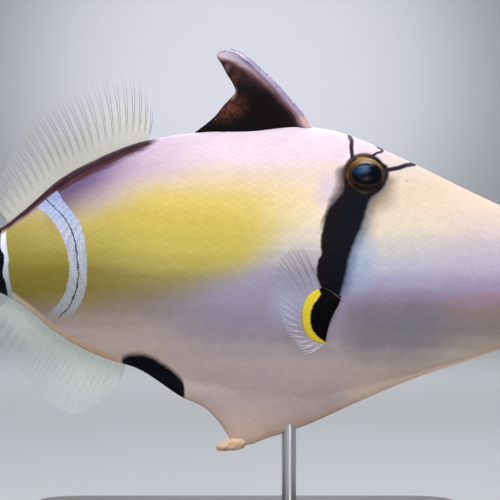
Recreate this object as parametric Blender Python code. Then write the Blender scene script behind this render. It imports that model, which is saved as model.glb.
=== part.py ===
"""A patchy triggerfish, life size, as a still museum model on a plain display stand.

Lengths in the tables below are millimetres. X runs from the tail to the snout, Y to the fish's
left, and Z up from the surface that the stand rests on.
"""

import math

import bmesh
import bpy
import numpy as np
from mathutils import Vector

MM = 0.001

# The fish's outline from the side, as (x, z): its back and its belly, from tail to snout.
BACK_LINE = [
    (-78.6, 86.0), (-68.0, 84.8), (-60.9, 86.6), (-55.3, 90.6), (-44.1, 100.2), (-32.9, 106.3),
    (-19.5, 111.2), (-4.9, 113.5), (9.1, 113.8), (23.1, 115.0), (31.5, 114.2), (39.9, 111.6),
    (51.1, 106.6), (73.5, 95.7), (90.3, 88.0), (104.3, 82.0),
]
BELLY_LINE = [
    (-78.6, 67.4), (-68.0, 68.8), (-60.9, 68.0), (-55.3, 64.9), (-44.1, 56.2), (-32.9, 50.2),
    (-22.0, 46.6), (-10.5, 39.1), (-2.2, 34.6), (0.6, 31.4), (3.8, 26.8), (6.5, 25.6), (14.7, 27.6),
    (25.9, 31.4), (37.1, 36.5), (53.9, 43.6), (76.3, 51.3), (93.1, 58.6), (104.3, 66.4),
]
# The underside of the thick part of the body, below which only a thin keel and flap of skin hang.
BODY_LOW = [
    (-78.6, 67.4), (-68.0, 68.8), (-60.9, 68.0), (-55.3, 64.9), (-44.1, 56.2), (-32.9, 50.4),
    (-22.0, 47.4), (-10.5, 44.0), (0.0, 41.4), (12.0, 39.2), (25.0, 38.2), (37.1, 40.6),
    (53.9, 45.2), (76.3, 51.8), (93.1, 58.6), (104.3, 66.4),
]
KEEL_HALF = [
    (-78.6, 0.0), (-40.0, 0.3), (-25.0, 2.0), (-8.0, 3.0), (5.0, 3.0), (16.0, 4.2), (32.0, 4.0),
    (52.0, 2.6), (76.0, 0.8), (104.3, 0.0),
]
# The height at which the body is widest, its half width there, and how pinched its back and belly
# are: 0.5 is a rounded edge, and 1 a ridge.
WIDEST_LINE = [(-78.6, 76.7), (-58.0, 77.5), (-20.0, 80.0), (30.0, 80.5), (60.0, 77.5), (104.3, 74.2)]
HALF_WIDTH = [
    (-78.6, 3.4), (-66.0, 4.1), (-55.0, 5.6), (-38.0, 9.0), (-20.0, 12.6), (5.0, 16.0),
    (30.0, 17.5), (45.0, 16.4), (62.0, 13.6), (80.0, 10.4), (95.0, 8.0), (104.3, 6.9),
]
BACK_EDGE = [(-78.6, 0.5), (-20.0, 0.62), (15.0, 0.62), (40.0, 0.52), (104.3, 0.5)]
BELLY_EDGE = [(-78.6, 0.5), (-45.0, 0.58), (-10.0, 0.7), (25.0, 0.72), (60.0, 0.62), (104.3, 0.5)]

TAIL_END = -78.6
STALK_FRONT = -58.7
KEEL_BLEND = 7.0
GILL_LINE = 34.6
MOUTH_ROOT = 104.3
RING_POINTS = 32
GAP = 0.3

EYE_PLACE = (40.9, 8.2, 99.2)
EYE_RADIUS = 6.3

# The lips' outer skin, then the mouth's inside, as (x, half width, half height).
LIP_RINGS = [
    (104.6, 6.8, 7.7), (105.8, 6.9, 7.6), (107.6, 6.9, 7.8), (109.2, 6.4, 7.1), (110.1, 5.7, 5.9),
    (110.4, 5.1, 4.6), (110.0, 4.6, 3.4), (108.8, 4.3, 2.8), (107.0, 4.3, 2.7), (104.6, 4.3, 2.7),
]
LIP_RING_POINTS = 28
MOUTH_HEIGHT = 74.2
MOUTH_PARTING = 0.6
TOOTH_ROW = {"reach": 109.2, "half_width": 3.1, "back": 105.4, "depth": 0.9, "height": 1.3}

# The fleshy spine that leads the front dorsal fin, and the fin's two edges, as (z, x).
FRONT_FIN_LEAD = [
    (114.3, 26.2), (118.0, 24.3), (122.1, 20.7), (126.6, 16.9), (130.6, 12.5), (134.0, 8.3), (136.4, 3.4),
]
FRONT_FIN_TRAIL = [
    (114.3, -5.4), (117.6, -0.6), (122.3, 3.0), (124.8, 5.0), (128.1, 3.5), (131.6, 2.0), (136.4, -0.4),
]
FRONT_FIN_TOP = 136.4
SPINE_RADIUS = (2.1, 0.9)
SPINE_COLUMNS = (0.0, 0.3, 1.0, 1.7, 2.2)
MEMBRANE = 0.4

# The rays of the soft fins, from front to back: (x of the root, length, lean in degrees from +X).
REAR_FIN_RAYS = [
    (-19.5, 9.0, 84), (-22.8, 18.5, 88), (-28.1, 21.3, 96), (-35.4, 20.4, 110), (-44.9, 18.0, 119),
    (-52.5, 13.2, 124), (-58.4, 7.8, 136),
]
ANAL_FIN_RAYS = [
    (-25.6, 9.0, 244), (-28.1, 15.9, 237), (-32.5, 18.2, 238), (-38.0, 17.4, 232), (-44.5, 16.6, 240),
    (-50.0, 14.4, 247), (-54.5, 11.4, 240), (-58.4, 7.8, 226),
]
FIN_WAVE = {"rear": (3.6, 1.35, 0.10), "anal": (4.2, 1.30, 0.55)}

TAIL_FIN = {"length": 31.5, "spread": 25.0, "root": 1.9, "curl": 1.6}
# The pectoral fin's root on the flank, top and bottom, and its margin, as (x, z).
PECTORAL_ROOT = [(32.6, 68.6), (31.4, 56.4)]
PECTORAL_TIPS = [(22.6, 81.4), (16.8, 77.2), (15.8, 69.9), (18.0, 60.8), (24.0, 51.9)]
PECTORAL_LIFT = 6.5
PECTORAL_ROOT_HALF = 1.1

# The blunt pelvic spine at the end of the belly keel: (x, z, half width, half height).
PELVIC_RINGS = [
    (8.0, 26.6, 1.2, 1.6), (5.4, 26.2, 1.5, 2.0), (2.6, 25.7, 1.5, 1.7), (0.6, 25.2, 1.2, 1.2),
    (-0.5, 24.9, 0.6, 0.7),
]

ROD = {"x": 20.0, "radius": 2.0, "foot": 4.0, "top": 44.0}
BASE = {"x": 8.0, "length": 120.0, "width": 62.0, "height": 9.0, "corner": 14.0, "edge": 1.4}


def smooth_curve(points):
    """A function through (x, y) points, smooth at each one."""
    x, y = np.array(points, float).T
    slope = np.gradient(y, x)

    def at(value):
        i = int(np.clip(np.searchsorted(x, value) - 1, 0, len(x) - 2))
        span = x[i + 1] - x[i]
        t = min(max((value - x[i]) / span, 0.0), 1.0)
        rise = y[i + 1] - y[i]
        start, end = slope[i] * span, slope[i + 1] * span
        return float(y[i] + t * (start + t * (3 * rise - 2 * start - end + t * (start + end - 2 * rise))))

    return at


back_line = smooth_curve(BACK_LINE)
belly_line = smooth_curve(BELLY_LINE)
body_low = smooth_curve(BODY_LOW)
keel_half = smooth_curve(KEEL_HALF)
widest_line = smooth_curve(WIDEST_LINE)
half_width = smooth_curve(HALF_WIDTH)
back_edge = smooth_curve(BACK_EDGE)
belly_edge = smooth_curve(BELLY_EDGE)


def flank(x, z):
    """The body's half width at x and height z: a rounded flank, run into a thin keel at the belly."""
    top, middle, low, body = back_line(x), widest_line(x), belly_line(x), body_low(x)
    if z >= middle:
        rise = min((z - middle) / (top - middle), 1.0)
        return half_width(x) * (1 - rise * rise) ** back_edge(x)
    fall = min((middle - z) / (middle - body), 1.0)
    thick = half_width(x) * (1 - fall * fall) ** belly_edge(x)
    fall = min(max((body + KEEL_BLEND - z) / (body + KEEL_BLEND - low), 0.0), 1.0)
    keel = keel_half(x) * math.sqrt(1 - fall * fall)
    return (thick ** 3 + keel ** 3) ** (1 / 3)


def body_ring(x):
    """Points round the body at x, from the back down its left side and up its right."""
    top, middle, low, body = back_line(x), widest_line(x), belly_line(x), body_low(x)
    ring = []
    for k in range(RING_POINTS):
        turn = 2 * math.pi * k / RING_POINTS
        rise = math.cos(turn)
        if rise >= 0:
            z = middle + (top - middle) * rise
        else:
            hang = max((-rise - 0.65) / 0.35, 0) ** 1.2
            z = middle + (middle - body) * rise - (body - low) * hang
        ring.append((x, math.copysign(flank(x, z), math.sin(turn)), z))
    return ring


def material(name, colour, roughness, metallic=0.0):
    made = bpy.data.materials.new(name)
    made.use_nodes = True
    shader = made.node_tree.nodes["Principled BSDF"]
    shader.inputs["Base Color"].default_value = (*colour, 1)
    shader.inputs["Roughness"].default_value = roughness
    shader.inputs["Metallic"].default_value = metallic
    return made


def mesh_object(name, points, faces, finish=None, home=None):
    """A closed mesh object from points in millimetres."""
    mesh = bpy.data.meshes.new(name)
    mesh.from_pydata([Vector(p) * MM for p in points], [], faces)
    shape = bmesh.new()
    shape.from_mesh(mesh)
    bmesh.ops.recalc_face_normals(shape, faces=shape.faces)
    shape.to_mesh(mesh)
    shape.free()
    made = bpy.data.objects.new(name, mesh)
    (home or fish_parts).objects.link(made)
    if finish:
        mesh.materials.append(finish)
    mesh.shade_smooth()
    mesh.set_sharp_from_angle(angle=math.radians(40))
    return made


def loft(name, rings, finish=None, home=None, closed=False):
    """Joins rings of points one after another. The ends are flat, or joined to each other if closed."""
    count = len(rings[0])
    faces = []
    for a in range(len(rings) if closed else len(rings) - 1):
        b = (a + 1) % len(rings)
        for k in range(count):
            n = (k + 1) % count
            faces.append((a * count + k, a * count + n, b * count + n, b * count + k))
    if not closed:
        faces.append(tuple(range(count)))
        faces.append(tuple(range((len(rings) - 1) * count, len(rings) * count)))
    return mesh_object(name, [p for ring in rings for p in ring], faces, finish, home)


def plate(name, place, half_thickness, columns, rows, finish):
    """A thin closed plate. place(u, v) is its middle, with v from root to margin."""
    us = [i / columns for i in range(columns + 1)]
    vs = [j / rows for j in range(rows + 1)]
    middle = np.array([[place(u, v) for v in vs] for u in us])
    along_u = np.gradient(middle, axis=0)
    along_v = np.gradient(middle, axis=1)
    normal = np.cross(along_u, along_v)
    normal /= np.linalg.norm(normal, axis=2, keepdims=True)
    thick = np.array([[half_thickness(u, v) for v in vs] for u in us])[..., None]
    skins = [middle + normal * thick, middle - normal * thick]
    points = np.concatenate([skin.reshape(-1, 3) for skin in skins])
    across = len(vs)
    back = len(us) * across
    faces = []
    for i in range(columns):
        for j in range(rows):
            a = i * across + j
            quad = (a, a + 1, a + across + 1, a + across)
            faces += [quad, tuple(back + q for q in reversed(quad))]
    rim = [i * across for i in range(columns)]
    rim += [columns * across + j for j in range(rows)]
    rim += [i * across + rows for i in range(columns, 0, -1)]
    rim += list(range(rows, 0, -1))
    for a, b in zip(rim, rim[1:] + rim[:1]):
        faces.append((a, b, back + b, back + a))
    return mesh_object(name, points.tolist(), faces, finish)


def cut(target, cutter):
    modifier = target.modifiers.new(cutter.name, "BOOLEAN")
    modifier.operation = "DIFFERENCE"
    modifier.solver = "EXACT"
    modifier.object = cutter


def cutting(shape):
    """Sets an object aside as a cutter."""
    shape.hide_render = True
    shape.display_type = "WIRE"
    return shape


def eyeball(name, side, radius, finish=None, home=None):
    shape = bmesh.new()
    bmesh.ops.create_uvsphere(shape, u_segments=20, v_segments=12, radius=radius * MM)
    mesh = bpy.data.meshes.new(name)
    shape.to_mesh(mesh)
    shape.free()
    mesh.shade_smooth()
    made = bpy.data.objects.new(name, mesh)
    x, y, z = EYE_PLACE
    made.location = Vector((x, y * side, z)) * MM
    made.rotation_euler = (math.radians(90), 0, 0)
    (home or fish_parts).objects.link(made)
    if finish:
        mesh.materials.append(finish)
    return made


def cylinder(name, x, low, high, radius, finish=None, home=None, segments=24):
    shape = bmesh.new()
    depth, radius = (high - low) * MM, radius * MM
    bmesh.ops.create_cone(
        shape, cap_ends=True, segments=segments, radius1=radius, radius2=radius, depth=depth
    )
    mesh = bpy.data.meshes.new(name)
    shape.to_mesh(mesh)
    shape.free()
    mesh.shade_smooth()
    mesh.set_sharp_from_angle(angle=math.radians(40))
    made = bpy.data.objects.new(name, mesh)
    made.location = (x * MM, 0, (low + high) / 2 * MM)
    (home or fish_parts).objects.link(made)
    if finish:
        mesh.materials.append(finish)
    return made


def build_body():
    """The fleshy body in three lengths: the tail stalk, the trunk and the head."""
    stalk = np.linspace(TAIL_END, STALK_FRONT - GAP / 2, 7)
    keel = np.linspace(-4.0, 10.0, 8)
    trunk = np.concatenate([
        np.linspace(STALK_FRONT + GAP / 2, -8.0, 13), keel, np.linspace(13.5, GILL_LINE - GAP / 2, 6)
    ])
    head = np.linspace(GILL_LINE + GAP / 2, MOUTH_ROOT, 18)
    loft("tail_stalk", [body_ring(x) for x in stalk], dark_skin)
    trunk = loft("trunk", [body_ring(x) for x in trunk], yellow_skin)
    head = loft("head", [body_ring(x) for x in head], pale_skin)
    return trunk, head


def build_eyes(head):
    for side, word in ((1, "left"), (-1, "right")):
        eyeball(f"eye_{word}", side, EYE_RADIUS, eye_gloss)
        cut(head, cutting(eyeball(f"socket_{word}", side, EYE_RADIUS + GAP, home=cutters)))


def lip_rings():
    rings = []
    for x, width, height in LIP_RINGS:
        ring = []
        for k in range(LIP_RING_POINTS):
            turn = 2 * math.pi * (k + 0.5) / LIP_RING_POINTS
            ring.append((x, width * math.sin(turn), MOUTH_HEIGHT + height * math.cos(turn)))
        rings.append(ring)
    return rings


def build_mouth():
    """Two fleshy lips round an open mouth, parted at its height, and a row of teeth behind each."""
    for word, side in (("upper", 1), ("lower", -1)):
        lip = loft(f"{word}_lip", lip_rings(), lip_flesh, closed=True)
        shape = bmesh.new()
        shape.from_mesh(lip.data)
        bmesh.ops.bisect_plane(
            shape,
            geom=shape.verts[:] + shape.edges[:] + shape.faces[:],
            plane_co=Vector((0, 0, MOUTH_HEIGHT + side * MOUTH_PARTING / 2)) * MM,
            plane_no=(0, 0, -side),
            clear_outer=True,
        )
        bmesh.ops.holes_fill(shape, edges=[e for e in shape.edges if e.is_boundary])
        bmesh.ops.recalc_face_normals(shape, faces=shape.faces)
        shape.to_mesh(lip.data)
        shape.free()
        build_teeth(f"{word}_teeth", side)


def build_teeth(name, side):
    """A curved row of teeth, joined to each other, with its edge at the parting of the lips."""
    reach, half, back = TOOTH_ROW["reach"], TOOTH_ROW["half_width"], TOOTH_ROW["back"]
    rings = []
    for k in range(13):
        turn = math.pi * (k / 12 - 0.5)
        ring = []
        for depth, share in ((0, 0), (0, 1), (TOOTH_ROW["depth"], 1), (TOOTH_ROW["depth"], 0)):
            y = (half - depth) * math.sin(turn)
            x = back + (reach - back - depth) * math.cos(turn)
            z = MOUTH_HEIGHT + side * (GAP / 2 + TOOTH_ROW["height"] * share)
            ring.append((x, y, z))
        rings.append(ring)
    loft(name, rings, tooth)


def build_front_dorsal_fin():
    """The stout locking spine with its dark membrane behind it."""
    lead, trail = smooth_curve(FRONT_FIN_LEAD), smooth_curve(FRONT_FIN_TRAIL)
    foot = FRONT_FIN_LEAD[0][0]
    columns = 11
    last_spine = len(SPINE_COLUMNS) - 1

    def level(v):
        return foot + v * (FRONT_FIN_TOP - foot)

    def radius(v):
        return SPINE_RADIUS[0] + (SPINE_RADIUS[1] - SPINE_RADIUS[0]) * v

    def distance(u, v):
        column = round(u * columns)
        if column <= last_spine:
            return SPINE_COLUMNS[column] * radius(v)
        behind = lead(level(v)) - trail(level(v)) - SPINE_COLUMNS[-1] * radius(v)
        return SPINE_COLUMNS[-1] * radius(v) + behind * (column - last_spine) / (columns - last_spine)

    def place(u, v):
        x = lead(level(v)) - distance(u, v)
        return x, 0, level(v) + (1 - v) * (back_line(x) + GAP - foot)

    def half_thickness(u, v):
        across = distance(u, v) / radius(v) - 1
        spine = radius(v) * math.sqrt(max(1 - across * across, 0))
        return max(spine, MEMBRANE)

    plate("dorsal_fin_front", place, half_thickness, columns, 10, dark_fin)


def ray_fin(name, rays, root_line, side, wave, columns, rows):
    """A soft fin whose rays stand on the body's ridge and sway in a wave towards their tips."""
    roots = [r[0] for r in rays]
    length = smooth_curve(sorted((x, reach) for x, reach, _ in rays))
    lean = smooth_curve(sorted((x, angle) for x, _, angle in rays))
    swing, waves, phase = wave

    def place(u, v):
        x = roots[0] + (roots[-1] - roots[0]) * u
        angle = math.radians(lean(x))
        reach = length(x) * v
        y = swing * v ** 1.6 * math.sin(2 * math.pi * (waves * u + phase))
        return x + reach * math.cos(angle), y, root_line(x) + side * GAP + reach * math.sin(angle)

    plate(name, place, lambda u, v: MEMBRANE + 0.35 * (1 - v) ** 3, columns, rows, clear_fin)


def build_tail_fin():
    low, high = belly_line(TAIL_END), back_line(TAIL_END)

    def place(u, v):
        across = 1 - 2 * u
        angle = math.radians(180 - TAIL_FIN["spread"] * across)
        reach = TAIL_FIN["length"] * v
        x = TAIL_END - GAP + reach * math.cos(angle)
        z = (low + high) / 2 + (high - low) / 2 * 0.94 * across + reach * math.sin(angle)
        return x, TAIL_FIN["curl"] * v * v * math.sin(2.2 * across + 0.4), z

    def half_thickness(u, v):
        return MEMBRANE + (TAIL_FIN["root"] - MEMBRANE) * max(1 - v / 0.4, 0) ** 1.5

    return plate("tail_fin", place, half_thickness, 12, 7, clear_fin)


def build_pectoral_fins():
    margin_x = smooth_curve([(i / 4, x) for i, (x, _) in enumerate(PECTORAL_TIPS)])
    margin_z = smooth_curve([(i / 4, z) for i, (_, z) in enumerate(PECTORAL_TIPS)])
    (top_x, top_z), (low_x, low_z) = PECTORAL_ROOT

    def thickness(u, v):
        return MEMBRANE + (PECTORAL_ROOT_HALF - MEMBRANE) * min(max((0.62 - v) / 0.2, 0), 1)

    for side, word in ((1, "left"), (-1, "right")):

        def place(u, v, side=side):
            x0, z0 = top_x + (low_x - top_x) * u, top_z + (low_z - top_z) * u
            x, z = x0 + (margin_x(u) - x0) * v, z0 + (margin_z(u) - z0) * v
            y = flank(x0, z0) + GAP + PECTORAL_ROOT_HALF + PECTORAL_LIFT * v ** 1.2
            return x, side * y, z

        plate(f"pectoral_fin_{word}", place, thickness, 10, 5, clear_fin)


def pelvic_rings(grow):
    rings = []
    last = len(PELVIC_RINGS) - 1
    for i, (x, z, width, height) in enumerate(PELVIC_RINGS):
        x += grow * ((i == 0) - (i == last))
        ring = []
        for k in range(14):
            turn = 2 * math.pi * k / 14
            ring.append((x, (width + grow) * math.sin(turn), z + (height + grow) * math.cos(turn)))
        rings.append(ring)
    return rings


def build_stand(trunk):
    """A flat base with one rod that runs up into the belly."""
    length, width, height = (BASE[k] for k in ("length", "width", "height"))
    shape = bmesh.new()
    bmesh.ops.create_cube(shape, size=1)
    bmesh.ops.scale(shape, vec=Vector((length, width, height)) * MM, verts=shape.verts)
    upright = [e for e in shape.edges if abs(e.verts[0].co.z - e.verts[1].co.z) > height / 2 * MM]
    bmesh.ops.bevel(shape, geom=upright, offset=BASE["corner"] * MM, segments=6, affect="EDGES", profile=0.5)
    rim = [e for e in shape.edges if all(v.co.z > 0 for v in e.verts)]
    bmesh.ops.bevel(shape, geom=rim, offset=BASE["edge"] * MM, segments=2, affect="EDGES", profile=0.5)
    mesh = bpy.data.meshes.new("stand_base")
    shape.to_mesh(mesh)
    shape.free()
    mesh.materials.append(dark_wood)
    base = bpy.data.objects.new("stand_base", mesh)
    base.location = Vector((BASE["x"], 0, height / 2)) * MM
    fish_parts.objects.link(base)
    x, radius, foot, top = (ROD[k] for k in ("x", "radius", "foot", "top"))
    cylinder("stand_rod", x, foot, top, radius, steel)
    cut(base, cutting(cylinder("rod_hole", x, foot - GAP, height + 5, radius + GAP, home=cutters)))
    cut(trunk, cutting(cylinder("rod_socket", x, 15, top + GAP, radius + GAP, home=cutters)))


for old in list(bpy.data.objects):
    bpy.data.objects.remove(old)
fish_parts = bpy.data.collections.new("patchy_triggerfish")
cutters = bpy.data.collections.new("cutters")
bpy.context.scene.collection.children.link(fish_parts)
bpy.context.scene.collection.children.link(cutters)

yellow_skin = material("yellow_skin", (0.62, 0.52, 0.20), 0.45)
pale_skin = material("pale_skin", (0.72, 0.62, 0.58), 0.45)
dark_skin = material("dark_skin", (0.02, 0.02, 0.03), 0.45)
lip_flesh = material("lip_flesh", (0.66, 0.55, 0.50), 0.45)
dark_fin = material("dark_fin", (0.05, 0.03, 0.03), 0.5)
clear_fin = material("clear_fin", (0.70, 0.72, 0.70), 0.35)
eye_gloss = material("eye_gloss", (0.03, 0.03, 0.04), 0.08)
tooth = material("tooth", (0.85, 0.82, 0.74), 0.25)
dark_wood = material("dark_wood", (0.06, 0.045, 0.035), 0.35)
steel = material("steel", (0.62, 0.62, 0.64), 0.25, 1.0)

trunk, head = build_body()
build_eyes(head)
build_mouth()
build_front_dorsal_fin()
ray_fin("dorsal_fin_rear", REAR_FIN_RAYS, back_line, 1, FIN_WAVE["rear"], 24, 5)
ray_fin("anal_fin", ANAL_FIN_RAYS, belly_line, -1, FIN_WAVE["anal"], 20, 5)
build_tail_fin()
build_pectoral_fins()
loft("pelvic_spine", pelvic_rings(0), pale_skin)
cut(trunk, cutting(loft("pelvic_socket", pelvic_rings(GAP), home=cutters)))
build_stand(trunk)
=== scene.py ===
import math

import bpy
import numpy as np
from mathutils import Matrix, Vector


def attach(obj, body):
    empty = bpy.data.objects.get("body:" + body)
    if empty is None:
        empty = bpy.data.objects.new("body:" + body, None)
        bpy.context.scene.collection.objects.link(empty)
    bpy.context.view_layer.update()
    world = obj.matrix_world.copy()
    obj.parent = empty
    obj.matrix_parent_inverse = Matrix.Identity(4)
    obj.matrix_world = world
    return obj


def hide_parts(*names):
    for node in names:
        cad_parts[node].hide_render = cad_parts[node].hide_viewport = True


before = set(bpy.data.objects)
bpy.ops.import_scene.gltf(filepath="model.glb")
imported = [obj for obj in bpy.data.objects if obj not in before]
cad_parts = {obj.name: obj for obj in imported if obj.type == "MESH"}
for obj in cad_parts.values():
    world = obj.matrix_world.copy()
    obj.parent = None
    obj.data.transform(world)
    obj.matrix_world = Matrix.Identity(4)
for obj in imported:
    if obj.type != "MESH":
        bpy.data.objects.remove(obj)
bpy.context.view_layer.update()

mm = 0.001
rng = np.random.default_rng(11)


# The fish's body, in millimetres

bodyShape = {
    "back": [
        (-78.6, 86), (-68, 84.8), (-60.9, 86.6), (-55.3, 90.6), (-44.1, 100.2), (-32.9, 106.3),
        (-19.5, 111.2), (-4.9, 113.5), (9.1, 113.8), (23.1, 115), (31.5, 114.2), (39.9, 111.6),
        (51.1, 106.6), (73.5, 95.7), (90.3, 88), (104.3, 82),
    ],
    "belly": [
        (-78.6, 67.4), (-68, 68.8), (-60.9, 68), (-55.3, 64.9), (-44.1, 56.2), (-32.9, 50.2),
        (-22, 46.6), (-10.5, 39.1), (-2.2, 34.6), (0.6, 31.4), (3.8, 26.8), (6.5, 25.6),
        (14.7, 27.6), (25.9, 31.4), (37.1, 36.5), (53.9, 43.6), (76.3, 51.3), (93.1, 58.6),
        (104.3, 66.4),
    ],
    "thickLow": [  # underside of the thick part, above the keel
        (-78.6, 67.4), (-68, 68.8), (-60.9, 68), (-55.3, 64.9), (-44.1, 56.2), (-32.9, 50.4),
        (-22, 47.4), (-10.5, 44), (0, 41.4), (12, 39.2), (25, 38.2), (37.1, 40.6),
        (53.9, 45.2), (76.3, 51.8), (93.1, 58.6), (104.3, 66.4),
    ],
    "keelHalf": [
        (-78.6, 0), (-40, 0.3), (-25, 2), (-8, 3), (5, 3), (16, 4.2), (32, 4),
        (52, 2.6), (76, 0.8), (104.3, 0),
    ],
    "widest": [(-78.6, 76.7), (-58, 77.5), (-20, 80), (30, 80.5), (60, 77.5), (104.3, 74.2)],
    "halfWidth": [
        (-78.6, 3.4), (-66, 4.1), (-55, 5.6), (-38, 9), (-20, 12.6), (5, 16),
        (30, 17.5), (45, 16.4), (62, 13.6), (80, 10.4), (95, 8), (104.3, 6.9),
    ],
    "backEdge": [(-78.6, 0.5), (-20, 0.62), (15, 0.62), (40, 0.52), (104.3, 0.5)],
    "bellyEdge": [(-78.6, 0.5), (-45, 0.58), (-10, 0.7), (25, 0.72), (60, 0.62), (104.3, 0.5)],
}
keelBlend = 7
tailEnd = -78.6
mouthRoot = 104.3
mouthHeight = 74.2


def smoothCurve(points):
    x, y = np.array(points, float).T
    slope = np.gradient(y, x)

    def at(value):
        value = np.asarray(value, float)
        i = np.clip(np.searchsorted(x, value) - 1, 0, len(x) - 2)
        span = x[i + 1] - x[i]
        t = np.clip((value - x[i]) / span, 0, 1)
        rise = y[i + 1] - y[i]
        start, end = slope[i] * span, slope[i + 1] * span
        return y[i] + t * (start + t * (3 * rise - 2 * start - end + t * (start + end - 2 * rise)))

    return at


line = {name: smoothCurve(points) for name, points in bodyShape.items()}


def alongLine(points, u):
    # each of the points' measures at u, which runs from 0 at the first point to 1 at the last
    knots = np.linspace(0, 1, len(points))
    return tuple(smoothCurve(list(zip(knots, column)))(u) for column in zip(*points))


def smooth(low, high, value):
    t = np.clip((value - low) / (high - low), 0, 1)
    return t * t * (3 - 2 * t)


def bell(value, at, width):
    return np.exp(-((value - at) / width) ** 2)


def heights(x):
    # the back's, the widest place's, the keel's and the thick part's height at x
    return [line[name](x) for name in ("back", "widest", "belly", "thickLow")]


def flank(x, z):
    # half width of the body at x, z
    top, middle, low, body = heights(x)
    rise = np.clip((z - middle) / (top - middle), 0, 1)
    upper = line["halfWidth"](x) * (1 - rise ** 2) ** line["backEdge"](x)
    fall = np.clip((middle - z) / (middle - body), 0, 1)
    thick = line["halfWidth"](x) * (1 - fall ** 2) ** line["bellyEdge"](x)
    fall = np.clip((body + keelBlend - z) / (body + keelBlend - low), 0, 1)
    keel = line["keelHalf"](x) * np.sqrt(1 - fall ** 2)
    return np.where(z >= middle, upper, (thick ** 3 + keel ** 3) ** (1 / 3))


def bodyPoint(x, turn):
    # turn runs from 0 at the back, down the left side to pi at the belly, and up the right side
    x, turn = np.broadcast_arrays(np.asarray(x, float), np.asarray(turn, float))
    top, middle, low, body = heights(x)
    rise = np.cos(turn)
    hang = np.clip((-rise - 0.65) / 0.35, 0, None) ** 1.2
    under = middle + (middle - body) * rise - (body - low) * hang
    z = np.where(rise >= 0, middle + (top - middle) * rise, under)
    return np.stack([x, np.copysign(flank(x, z), np.sin(turn)), z], axis=-1)


def bodyNormal(x, turn):
    along = bodyPoint(x + 0.4, turn) - bodyPoint(x - 0.4, turn)
    around = bodyPoint(x, turn + 0.02) - bodyPoint(x, turn - 0.02)
    normal = np.cross(along, around)
    return normal / np.maximum(np.linalg.norm(normal, axis=-1, keepdims=True), 1e-9)


eyeShape = {
    "centre": (40.9, 8.2, 99.2), "radius": 6.25, "middle": (40.8, 101.1),  # middle as seen from the side
    "cornea": (0.25, 0.78, 0.98),  # height of its bulge, and the cosines between which it rises
}
eyeAim = {}
for side in (1, -1):
    centre = np.array(eyeShape["centre"]) * (1, side, 1)
    acrossX, acrossZ = eyeShape["middle"]
    skinSpot = np.array((acrossX, side * float(flank(acrossX, acrossZ)), acrossZ))
    aim = skinSpot - centre
    eyeAim[side] = (centre, aim / np.linalg.norm(aim))


def eyeDistance(points):
    # how far points are from the nearer eye's line of sight
    nearest = np.full(points.shape[:-1], 99.0)
    for side, (centre, aim) in eyeAim.items():
        offset = points - centre
        along = (offset @ aim)[..., None] * aim
        away = np.linalg.norm(offset - along, axis=-1)
        nearest = np.minimum(nearest, np.where(points[..., 1] * side > 0, away, 99.0))
    return nearest


# Ways of making a piece

sides = ((1, "Left"), (-1, "Right"))


def deselectAll():
    if bpy.context.object and bpy.context.object.mode != "OBJECT":
        bpy.ops.object.mode_set(mode="OBJECT")
    bpy.ops.object.select_all(action="DESELECT")


def activate(piece):
    deselectAll()
    piece.select_set(True)
    bpy.context.view_layer.objects.active = piece


def editAll(*steps):
    # runs mesh operators, each with its settings, on the whole of the active piece
    bpy.ops.object.mode_set(mode="EDIT")
    for step, settings in steps:
        bpy.ops.mesh.select_all(action="SELECT")
        step(**settings)
    bpy.ops.object.mode_set(mode="OBJECT")


def weld(distance):
    return bpy.ops.mesh.remove_doubles, {"threshold": distance}


outward = (bpy.ops.mesh.normals_make_consistent, {"inside": False})


def named(name, material):
    piece = bpy.context.object
    piece.name = name
    piece.data.name = name
    piece.data.materials.clear()
    piece.data.materials.append(material)
    return piece


def addGrid(name, material, columns, rows, place, closeAround=False):
    # adds a grid and moves its points to place(u, v). Rows run round the piece where it closes
    deselectAll()
    bpy.ops.mesh.primitive_grid_add(x_subdivisions=columns, y_subdivisions=rows, size=1)
    piece = named(name, material)
    flat = pointsOf(piece)
    moved = place(flat[:, 0] + 0.5, flat[:, 1] + 0.5) * mm
    piece.data.vertices.foreach_set("co", moved.ravel())
    editAll(*([weld(0.000004)] if closeAround else []), outward)
    bpy.ops.object.shade_smooth()
    return piece


def applyModifier(piece, kind, **settings):
    activate(piece)
    modifier = piece.modifiers.new(kind.title(), kind)
    for key, value in settings.items():
        setattr(modifier, key, value)
    bpy.ops.object.modifier_apply(modifier=modifier.name)
    return piece


def copiesOf(name, material, source, places):
    # one mesh with a copy of the source's mesh at each place. A place gives the copy's points
    count = len(source.data.vertices)
    faces = [tuple(p.vertices) for p in source.data.polygons]
    points = np.concatenate(places)
    allFaces = [tuple(k * count + i for i in face) for k in range(len(places)) for face in faces]
    mesh = bpy.data.meshes.new(name)
    mesh.from_pydata((points * mm).tolist(), [], allFaces)
    mesh.materials.append(material)
    mesh.shade_smooth()
    mesh.set_sharp_from_angle(angle=math.radians(32))
    piece = bpy.data.objects.new(name, mesh)
    bpy.context.scene.collection.objects.link(piece)
    bpy.data.objects.remove(source)
    return piece


def pointsOf(piece):
    flat = np.empty(len(piece.data.vertices) * 3)
    piece.data.vertices.foreach_get("co", flat)
    return flat.reshape(-1, 3)


def nameValues(piece, name, values):
    # gives the piece's points values that its material reads by name
    layer = piece.data.attributes.new(name, "FLOAT", "POINT")
    layer.data.foreach_set("value", np.asarray(values, float))


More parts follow.
